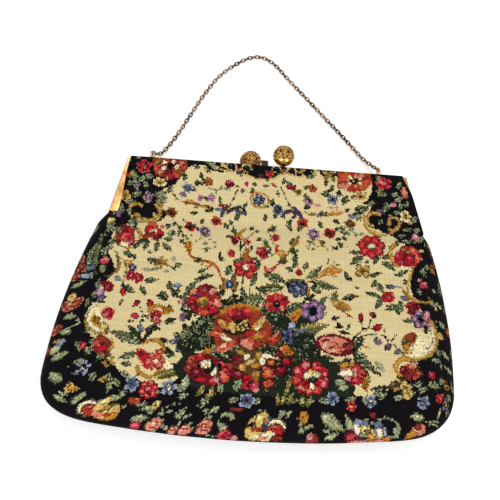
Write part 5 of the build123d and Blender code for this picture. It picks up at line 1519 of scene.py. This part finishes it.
# Gilt frame: two stamped brass channels, gilded and polished, riveted at the hinges.
# On the real frame the high edges are rubbed paler and the hollows tarnished browner; here the paler and
# browner gold lie in random patches.
wear = bpy.data.node_groups.new("rubbed_metal", "ShaderNodeTree")
wear.interface.new_socket("Scale", in_out="INPUT", socket_type="NodeSocketFloat")
wear.interface.new_socket("Polish", in_out="INPUT", socket_type="NodeSocketFloat")
wear.interface.new_socket("Mask", in_out="OUTPUT", socket_type="NodeSocketFloat")
wear.interface.new_socket("Roughness", in_out="OUTPUT", socket_type="NodeSocketFloat")
into = wear.nodes.new("NodeGroupInput")
out_of = wear.nodes.new("NodeGroupOutput")
place_on = wear.nodes.new("ShaderNodeTexCoord")
patches = wear.nodes.new("ShaderNodeTexNoise")
patches.inputs["Detail"].default_value = 4.0
wear.links.new(place_on.outputs["Object"], patches.inputs["Vector"])
wear.links.new(into.outputs["Scale"], patches.inputs["Scale"])
mask = sum_node(wear, "MULTIPLY", sum_node(wear, "SUBTRACT", patches.outputs["Fac"], 0.42), 5.0, True)
wear.links.new(mask, out_of.inputs["Mask"])
roughness = sum_node(wear, "MULTIPLY_ADD", mask, 0.14)
wear.links.new(into.outputs["Polish"], roughness.node.inputs[2])
wear.links.new(roughness, out_of.inputs["Roughness"])


def rubbed_metal(name, bright, dull, scale, polish=0.2):
    """Old brass: bright where hands rub it, dull in patches of the given scale."""
    material, nodes, links = new_material(name)
    shader = nodes["Principled BSDF"]
    group = nodes.new("ShaderNodeGroup")
    group.node_tree = wear
    group.inputs["Scale"].default_value = scale
    group.inputs["Polish"].default_value = polish
    tint = nodes.new("ShaderNodeMix")
    tint.data_type = "RGBA"
    tint.inputs[6].default_value = (*bright, 1.0)
    tint.inputs[7].default_value = (*dull, 1.0)
    links.new(group.outputs["Mask"], tint.inputs["Factor"])
    links.new(tint.outputs[2], shader.inputs["Base Color"])
    links.new(group.outputs["Roughness"], shader.inputs["Roughness"])
    shader.inputs["Metallic"].default_value = 1.0
    return material


gilt = rubbed_metal("gilt_brass", shade("D0A368"), shade("9C7446"), 90.0, 0.3)
for node in ("back_frame", "front_frame", "hinge_rivet_left", "hinge_rivet_right"):
    metal_piece = bpy.data.objects[node]
    metal_piece.data.materials.clear()
    metal_piece.data.materials.append(gilt)

# Satin lining: stiffened cream satin, a little smaller than the cloth and sewn to it at the mouth.
satin, nodes, links = new_material("satin_cream")
shader = nodes["Principled BSDF"]
satin_place = nodes.new("ShaderNodeTexCoord")
satin_grain = nodes.new("ShaderNodeTexWave")
satin_grain.inputs["Scale"].default_value = 900.0
satin_grain.inputs["Distortion"].default_value = 2.0
links.new(satin_place.outputs["Object"], satin_grain.inputs["Vector"])
satin_tint = nodes.new("ShaderNodeMix")
satin_tint.data_type = "RGBA"
satin_tint.inputs[6].default_value = (*shade("D2BE8E"), 1.0)
satin_tint.inputs[7].default_value = (*shade("DECDA2"), 1.0)
links.new(satin_grain.outputs["Fac"], satin_tint.inputs["Factor"])
links.new(satin_tint.outputs[2], shader.inputs["Base Color"])
shader.inputs["Roughness"].default_value = 0.42
shader.inputs["Sheen Weight"].default_value = 0.3


def drawn_in(points):
    """The pattern's places moved in from the seams by the lining's allowance."""
    return np.stack((points[..., 0] * 0.985, -50 + (points[..., 1] + 50) * 0.975), -1)


def lining_piece(name, x, y, z, share, faces, node):
    """One satin panel, leaning with the cloth that it lines."""
    points = row_points(x + lean(y, share) * smooth((pouch_top + 3 - y) / 12.0), y, z)
    piece = plain_mesh(name, points, faces, None if name.startswith("front") else "bag")
    piece.data.materials.append(satin)
    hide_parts(node)
    return piece


first_row = int(np.argmax(left_line[:, 1] < pouch_top + 3))
inner_front = drawn_in(flat[first_row::3, ::5])
inner_front[..., 0] *= 1 - 0.12 * smooth((inner_front[..., 1] + 14) / 12)
inner_faces = grid_faces(*inner_front.shape[:2])
front_satin = lining_piece(
    "front_lining_satin", inner_front[..., 0], inner_front[..., 1],
    front_height(inner_front[..., 0], inner_front[..., 1]) - 1.5
    - 0.6 * smooth((inner_front[..., 1] + 12) / 14),
    1.0, inner_faces[:, ::-1], "front_lining")
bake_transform(front_satin)
inner_back = drawn_in(back_flat[::4, ::4])
inner_back = inner_back[inner_back[:, 25, 1] < pouch_top]
lining_piece("back_lining_satin", inner_back[..., 0], inner_back[..., 1],
             back_height(inner_back[..., 0], inner_back[..., 1]) + 2.2, 0.0,
             grid_faces(*inner_back.shape[:2]), "back_lining")
inner_strip = []
for roll, part in zip(strip_rolls[::3], strip_shares[::3]):
    line, _ = outline(roll, 240)
    line = drawn_in(line)
    part = 0.09 + 0.82 * part
    height = 7.6 + part * (seam_height(line[:, 1]) - 7.6)
    inner_strip.append(np.stack((line[:, 0] + lean(line[:, 1], part), line[:, 1], height), -1))
inner_strip = np.array(inner_strip)
gusset_satin = plain_mesh("gusset_lining_satin", row_points(inner_strip[..., 0], inner_strip[..., 1],
                          inner_strip[..., 2]), grid_faces(*inner_strip.shape[:2]), "bag")
gusset_satin.data.materials.append(satin)
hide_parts("gusset_lining")
for node in ("back_frame_lining", "front_frame_lining", "inner_pocket"):
    bpy.data.objects[node].data.materials.clear()
    bpy.data.objects[node].data.materials.append(satin)

# Seam thread: dark linen whipped over the join of front and gusset, one short stitch after another.
stitch_tree = bpy.data.node_groups.new("whipped_seam", "GeometryNodeTree")


def named_inputs(tree, sizes, whole=()):
    """Gives a tree its sizes as named inputs, a path to start from and a result."""
    tree.interface.new_socket("Path", in_out="INPUT", socket_type="NodeSocketGeometry")
    for label, value in sizes.items():
        kind = "NodeSocketInt" if label in whole else "NodeSocketFloat"
        tree.interface.new_socket(label, in_out="INPUT", socket_type=kind).default_value = value
    tree.interface.new_socket("Finish", in_out="INPUT", socket_type="NodeSocketMaterial")
    tree.interface.new_socket("Result", in_out="OUTPUT", socket_type="NodeSocketGeometry")
    return tree.nodes.new("NodeGroupInput"), tree.nodes.new("NodeGroupOutput")


def add_node(tree, kind, settings=None, **wires):
    """A node with its settings, and its named sockets wired to a socket or set to a value."""
    node = tree.nodes.new(kind)
    for label, value in (settings or {}).items():
        setattr(node, label, value)
    for label, value in wires.items():
        socket = node.inputs[int(label[1:])] if label[1:].isdigit() else node.inputs[label.replace("_", " ")]
        if isinstance(value, bpy.types.NodeSocket):
            tree.links.new(value, socket)
        else:
            socket.default_value = value
    return node.outputs


def made_along(tree, name, points, finish, body, sizes=None):
    """Runs a tree on a path of points and keeps the result as a plain mesh on one body."""
    host_mesh = bpy.data.meshes.new(name + "_path")
    steps = [(k, k + 1) for k in range(len(points) - 1)]
    host_mesh.from_pydata([tuple(point) for point in points], steps, [])
    host = bpy.data.objects.new(name + "_path", host_mesh)
    scene.collection.objects.link(host)
    maker = host.modifiers.new("maker", "NODES")
    maker.node_group = tree
    for item in tree.interface.items_tree:
        if item.in_out == "INPUT" and item.name == "Finish":
            maker[item.identifier] = finish
        elif item.in_out == "INPUT" and item.name in (sizes or {}):
            maker[item.identifier] = sizes[item.name]
    graph = bpy.context.evaluated_depsgraph_get()
    mesh = bpy.data.meshes.new_from_object(host.evaluated_get(graph), depsgraph=graph)
    host.modifiers.remove(maker)
    bpy.data.objects.remove(host)
    mesh.name = name
    piece = bpy.data.objects.new(name, mesh)
    scene.collection.objects.link(piece)
    mesh.polygons.foreach_set("use_smooth", [True] * len(mesh.polygons))
    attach(piece, body)
    return piece


into, out_of = named_inputs(stitch_tree, {"Stitch Pitch": 0.0024, "Stitch Length": 0.0024,
                                          "Thread Radius": 0.00028})
path = add_node(stitch_tree, "GeometryNodeMeshToCurve", Mesh=into.outputs["Path"])
even = add_node(stitch_tree, "GeometryNodeResampleCurve", {"mode": "LENGTH"}, Curve=path["Curve"],
                Length=into.outputs["Stitch Pitch"])
spots = add_node(stitch_tree, "GeometryNodeCurveToPoints", {"mode": "EVALUATED"}, Curve=even["Curve"])
slant = add_node(stitch_tree, "FunctionNodeAlignRotationToVector", {"axis": "X"}, Vector=spots["Tangent"])
slant = add_node(stitch_tree, "FunctionNodeAlignRotationToVector", {"axis": "Z", "pivot_axis": "X"},
                 Rotation=slant["Rotation"], Vector=(0.0, 0.0, 1.0))
tilt = add_node(stitch_tree, "FunctionNodeAxisAngleToRotation", Axis=(0.0, 0.0, 1.0), Angle=0.6)
slant = add_node(stitch_tree, "FunctionNodeRotateRotation", {"rotation_space": "LOCAL"},
                 Rotation=slant["Rotation"], Rotate_By=tilt["Rotation"])
half_stitch = add_node(stitch_tree, "ShaderNodeMath", {"operation": "MULTIPLY"},
                       _0=into.outputs["Stitch Length"], _1=0.5)
shape = add_node(stitch_tree, "ShaderNodeCombineXYZ", X=half_stitch["Value"],
                 Y=into.outputs["Thread Radius"], Z=into.outputs["Thread Radius"])
bead = add_node(stitch_tree, "GeometryNodeMeshUVSphere", Segments=8, Rings=6, Radius=1.0)
laid = add_node(stitch_tree, "GeometryNodeInstanceOnPoints", Points=spots["Points"], Instance=bead["Mesh"],
                Rotation=slant["Rotation"], Scale=shape["Vector"])
solid = add_node(stitch_tree, "GeometryNodeRealizeInstances", Geometry=laid["Instances"])
done = add_node(stitch_tree, "GeometryNodeSetMaterial", Geometry=solid["Geometry"],
                Material=into.outputs["Finish"])
stitch_tree.links.new(done["Geometry"], out_of.inputs["Result"])
thread_paint, nodes, links = new_material("seam_thread")
nodes["Principled BSDF"].inputs["Base Color"].default_value = (*shade("1B1820"), 1.0)
nodes["Principled BSDF"].inputs["Roughness"].default_value = 0.7
seam_at = lower_outline[12:-12:4]
seam_x, seam_y = seam_at[:, 0], seam_at[:, 1]
seam_path = row_points(seam_x + lean(seam_y, 1.0), seam_y, seam_height(seam_y) - 0.35)
made_along(stitch_tree, "front_seam_thread", seam_path, thread_paint, "bag")

# Clasp balls: each a smooth brass cup on a stem, and over it a dome of coiled scroll wire.
# The scrolls are soldered side by side over an inner ball coloured dark brown as painted shade for the
# hollow seen between them, with a beaded ring on the cup's lip.
ball_brass = rubbed_metal("clasp_brass", shade("E8BE6E"), shade("A87232"), 140.0)
for node in ("back_ball_post", "front_ball_post"):
    bpy.data.objects[node].data.materials.clear()
    bpy.data.objects[node].data.materials.append(ball_brass)
# Painted shade: the inner ball's dark brown brass stands in for the shade inside the hollow dome.
painted_shade_inner_brass = rubbed_metal("painted_shade_inner_brass", shade("8A5428"), shade("4A2814"), 200.0)
dome_tree = bpy.data.node_groups.new("scroll_dome", "GeometryNodeTree")
dome_sizes = {"Ball Radius": 0.0062, "Lip Height": -0.0016, "Scroll Spacing": 0.00165,
              "Scroll Radius": 0.00088, "Wire Radius": 0.00022, "Lip Beads": 40, "Seed": 4}
into, out_of = named_inputs(dome_tree, dome_sizes, ("Lip Beads", "Seed"))
cup_brass = rubbed_metal("cup_brass", shade("ECCB80"), shade("B08838"), 60.0, 0.06)
for label, brass in (("Shaded Hollow", painted_shade_inner_brass), ("Polished", cup_brass)):
    metal_input = dome_tree.interface.new_socket(label, in_out="INPUT", socket_type="NodeSocketMaterial")
    metal_input.default_value = brass
ball = add_node(dome_tree, "GeometryNodeMeshIcoSphere", Radius=into.outputs["Ball Radius"], Subdivisions=5)
where = add_node(dome_tree, "GeometryNodeInputPosition")
apart = add_node(dome_tree, "ShaderNodeSeparateXYZ", Vector=where["Position"])
below = add_node(dome_tree, "FunctionNodeCompare", {"operation": "LESS_THAN"}, A=apart["Z"],
                 B=into.outputs["Lip Height"])
dome = add_node(dome_tree, "GeometryNodeDeleteGeometry", {"domain": "FACE"}, Geometry=ball["Mesh"],
                Selection=below["Result"])
spots = add_node(dome_tree, "GeometryNodeDistributePointsOnFaces", {"distribute_method": "POISSON"},
                 Mesh=dome["Geometry"], Distance_Min=into.outputs["Scroll Spacing"], Density_Max=2000000.0,
                 Seed=into.outputs["Seed"])
coil = add_node(dome_tree, "GeometryNodeCurveSpiral", Resolution=14, Rotations=1.5, Start_Radius=0.00025,
                End_Radius=into.outputs["Scroll Radius"], Height=0.0)
wire = add_node(dome_tree, "GeometryNodeCurvePrimitiveCircle", Resolution=6,
                Radius=into.outputs["Wire Radius"])
scroll = add_node(dome_tree, "GeometryNodeCurveToMesh", Curve=coil["Curve"], Profile_Curve=wire["Curve"],
                  Fill_Caps=True)
facing = add_node(dome_tree, "FunctionNodeAlignRotationToVector", {"axis": "Z"}, Vector=spots["Normal"])
spin = add_node(dome_tree, "FunctionNodeRandomValue", {"data_type": "FLOAT"}, Seed=into.outputs["Seed"])
spin_angle = add_node(dome_tree, "ShaderNodeMath", {"operation": "MULTIPLY"}, _0=spin[1], _1=6.283)
spin_turn = add_node(dome_tree, "FunctionNodeAxisAngleToRotation", Axis=(0.0, 0.0, 1.0),
                     Angle=spin_angle["Value"])
facing = add_node(dome_tree, "FunctionNodeRotateRotation", {"rotation_space": "LOCAL"},
                  Rotation=facing["Rotation"], Rotate_By=spin_turn["Rotation"])
scrolls = add_node(dome_tree, "GeometryNodeInstanceOnPoints", Points=spots["Points"],
                   Instance=scroll["Mesh"], Rotation=facing["Rotation"])
slant = add_node(dome_tree, "ShaderNodeMath", {"operation": "DIVIDE"}, _0=into.outputs["Lip Height"],
                 _1=into.outputs["Ball Radius"])
lean_angle = add_node(dome_tree, "ShaderNodeMath", {"operation": "ARCSINE"}, _0=slant["Value"])
level_share = add_node(dome_tree, "ShaderNodeMath", {"operation": "COSINE"}, _0=lean_angle["Value"])
lip_radius = add_node(dome_tree, "ShaderNodeMath", {"operation": "MULTIPLY"}, _0=into.outputs["Ball Radius"],
                      _1=level_share["Value"])
lip = add_node(dome_tree, "GeometryNodeMeshCircle", Vertices=into.outputs["Lip Beads"],
               Radius=lip_radius["Value"])
lip_up = add_node(dome_tree, "ShaderNodeCombineXYZ", Z=into.outputs["Lip Height"])
lip = add_node(dome_tree, "GeometryNodeTransform", Geometry=lip["Mesh"], Translation=lip_up["Vector"])
grain = add_node(dome_tree, "GeometryNodeMeshIcoSphere", Radius=0.00038, Subdivisions=2)
beads = add_node(dome_tree, "GeometryNodeInstanceOnPoints", Points=lip["Geometry"], Instance=grain["Mesh"])
brass_part = add_node(dome_tree, "GeometryNodeJoinGeometry")
joined = dome_tree.nodes[-1]
dome_tree.links.new(scrolls["Instances"], joined.inputs[0])
dome_tree.links.new(beads["Instances"], joined.inputs[0])
brass_solid = add_node(dome_tree, "GeometryNodeRealizeInstances", Geometry=brass_part["Geometry"])
brass_done = add_node(dome_tree, "GeometryNodeSetMaterial", Geometry=brass_solid["Geometry"],
                      Material=into.outputs["Finish"])
inner_radius = add_node(dome_tree, "ShaderNodeMath", {"operation": "MULTIPLY"},
                        _0=into.outputs["Ball Radius"], _1=0.93)
inner = add_node(dome_tree, "GeometryNodeMeshUVSphere", Segments=40, Rings=24, Radius=inner_radius["Value"])
inner_cut = add_node(dome_tree, "GeometryNodeDeleteGeometry", {"domain": "FACE"}, Geometry=inner["Mesh"],
                     Selection=below["Result"])
inner_done = add_node(dome_tree, "GeometryNodeSetMaterial", Geometry=inner_cut["Geometry"],
                      Material=into.outputs["Shaded Hollow"])
both = add_node(dome_tree, "GeometryNodeJoinGeometry")
joined = dome_tree.nodes[-1]
dome_tree.links.new(brass_done["Geometry"], joined.inputs[0])
dome_tree.links.new(inner_done["Geometry"], joined.inputs[0])
cup_radius = add_node(dome_tree, "ShaderNodeMath", {"operation": "ADD"}, _0=into.outputs["Ball Radius"],
                      _1=0.0002)
cup = add_node(dome_tree, "GeometryNodeMeshUVSphere", Segments=64, Rings=40, Radius=cup_radius["Value"])
above = add_node(dome_tree, "FunctionNodeCompare", {"operation": "GREATER_THAN"}, A=apart["Z"],
                 B=into.outputs["Lip Height"])
cup_cut = add_node(dome_tree, "GeometryNodeDeleteGeometry", {"domain": "FACE"}, Geometry=cup["Mesh"],
                   Selection=above["Result"])
cup_done = add_node(dome_tree, "GeometryNodeSetMaterial", Geometry=cup_cut["Geometry"],
                    Material=into.outputs["Polished"])
dome_tree.links.new(cup_done["Geometry"], joined.inputs[0])
dome_tree.links.new(both["Geometry"], out_of.inputs["Result"])
ball_offset, stem_rise, stem_lean = 9.05, 7.4, 3.5
back_rim_height, front_rim_height = 10.3, 15.7
for name, body, way, rim_height, lip_height in (
        ("back_ball", "bag", -1, back_rim_height, -0.0048),
        ("front_ball", "front_half", 1, front_rim_height, -0.0016)):
    dome_piece = made_along(dome_tree, name + "_scrolls", [(0, 0, 0), (0, 0, 0.001)], ball_brass, body,
                            {"Lip Height": lip_height})
    stem = Vector((0.0, stem_rise, stem_lean * way))
    seat = stem.to_track_quat("Z", "X").to_matrix().to_4x4()
    rim_place = Vector((ball_offset * way, frame_top + hinge_row_y, rim_height))
    seat.translation = rim_place * 0.001 + stem * 0.001
    dome_piece.data.transform(seat)
    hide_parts(name + "_cup", name + "_filigree")

# Chain: round brass wire bent into oval links, every second one on edge; older and duller than the clasp.
chain_brass = rubbed_metal("chain_brass", shade("9C7C58"), shade("4E382A"), 160.0)
for node in ("chain_eye_left", "chain_eye_right", "chain_end_ring_left", "chain_end_ring_right"):
    bpy.data.objects[node].data.materials.clear()
    bpy.data.objects[node].data.materials.append(chain_brass)
# Painted shade: the brass catch tongue is coloured almost black, standing in for the shade it lies in at the
# clasp.
shaded_tongue_brass = rubbed_metal("shaded_tongue_brass", shade("2E2218"), shade("1A120C"), 160.0)
bpy.data.objects["catch_tongue"].data.materials.clear()
bpy.data.objects["catch_tongue"].data.materials.append(shaded_tongue_brass)
link_tree = bpy.data.node_groups.new("cable_chain", "GeometryNodeTree")
into, out_of = named_inputs(link_tree, {"Links": 91, "Half Length": 0.001625, "Half Width": 0.00106,
                                        "Wire Radius": 0.000365}, ("Links",))
path = add_node(link_tree, "GeometryNodeMeshToCurve", Mesh=into.outputs["Path"])
even = add_node(link_tree, "GeometryNodeResampleCurve", {"mode": "COUNT"}, Curve=path["Curve"],
                Count=into.outputs["Links"])
spots = add_node(link_tree, "GeometryNodeCurveToPoints", {"mode": "EVALUATED"}, Curve=even["Curve"])
lay = add_node(link_tree, "FunctionNodeAlignRotationToVector", {"axis": "X"}, Vector=spots["Tangent"])
lay = add_node(link_tree, "FunctionNodeAlignRotationToVector", {"axis": "Z", "pivot_axis": "X"},
               Rotation=lay["Rotation"], Vector=(0.0, 0.0, 1.0))
number = add_node(link_tree, "GeometryNodeInputIndex")
quarter = add_node(link_tree, "ShaderNodeMath", {"operation": "MULTIPLY"}, _0=number["Index"],
                   _1=math.pi / 2)
turned = add_node(link_tree, "FunctionNodeAxisAngleToRotation", Axis=(1.0, 0.0, 0.0), Angle=quarter["Value"])
lay = add_node(link_tree, "FunctionNodeRotateRotation", {"rotation_space": "LOCAL"},
               Rotation=lay["Rotation"], Rotate_By=turned["Rotation"])
ring = add_node(link_tree, "GeometryNodeCurvePrimitiveCircle", Resolution=20, Radius=1.0)
oval_size = add_node(link_tree, "ShaderNodeCombineXYZ", X=into.outputs["Half Length"],
                     Y=into.outputs["Half Width"], Z=1.0)
oval = add_node(link_tree, "GeometryNodeTransform", Geometry=ring["Curve"], Scale=oval_size["Vector"])
wire = add_node(link_tree, "GeometryNodeCurvePrimitiveCircle", Resolution=8,
                Radius=into.outputs["Wire Radius"])
link_mesh = add_node(link_tree, "GeometryNodeCurveToMesh", Curve=oval["Geometry"],
                     Profile_Curve=wire["Curve"])
links_laid = add_node(link_tree, "GeometryNodeInstanceOnPoints", Points=spots["Points"],
                      Instance=link_mesh["Mesh"], Rotation=lay["Rotation"])
solid = add_node(link_tree, "GeometryNodeRealizeInstances", Geometry=links_laid["Instances"])
done = add_node(link_tree, "GeometryNodeSetMaterial", Geometry=solid["Geometry"],
                Material=into.outputs["Finish"])
link_tree.links.new(done["Geometry"], out_of.inputs["Result"])
cad_links = bpy.data.objects["chain_links"].data
link_corners = np.empty(len(cad_links.vertices) * 3, np.float32)
cad_links.vertices.foreach_get("co", link_corners)
link_middles = link_corners.reshape(91, -1, 3).mean(axis=1)
link_middles = link_middles[np.argsort(link_middles[:, 0])]
chain_piece = made_along(link_tree, "cable_chain", link_middles.tolist(), chain_brass, "chain_handle")
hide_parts("chain_links")
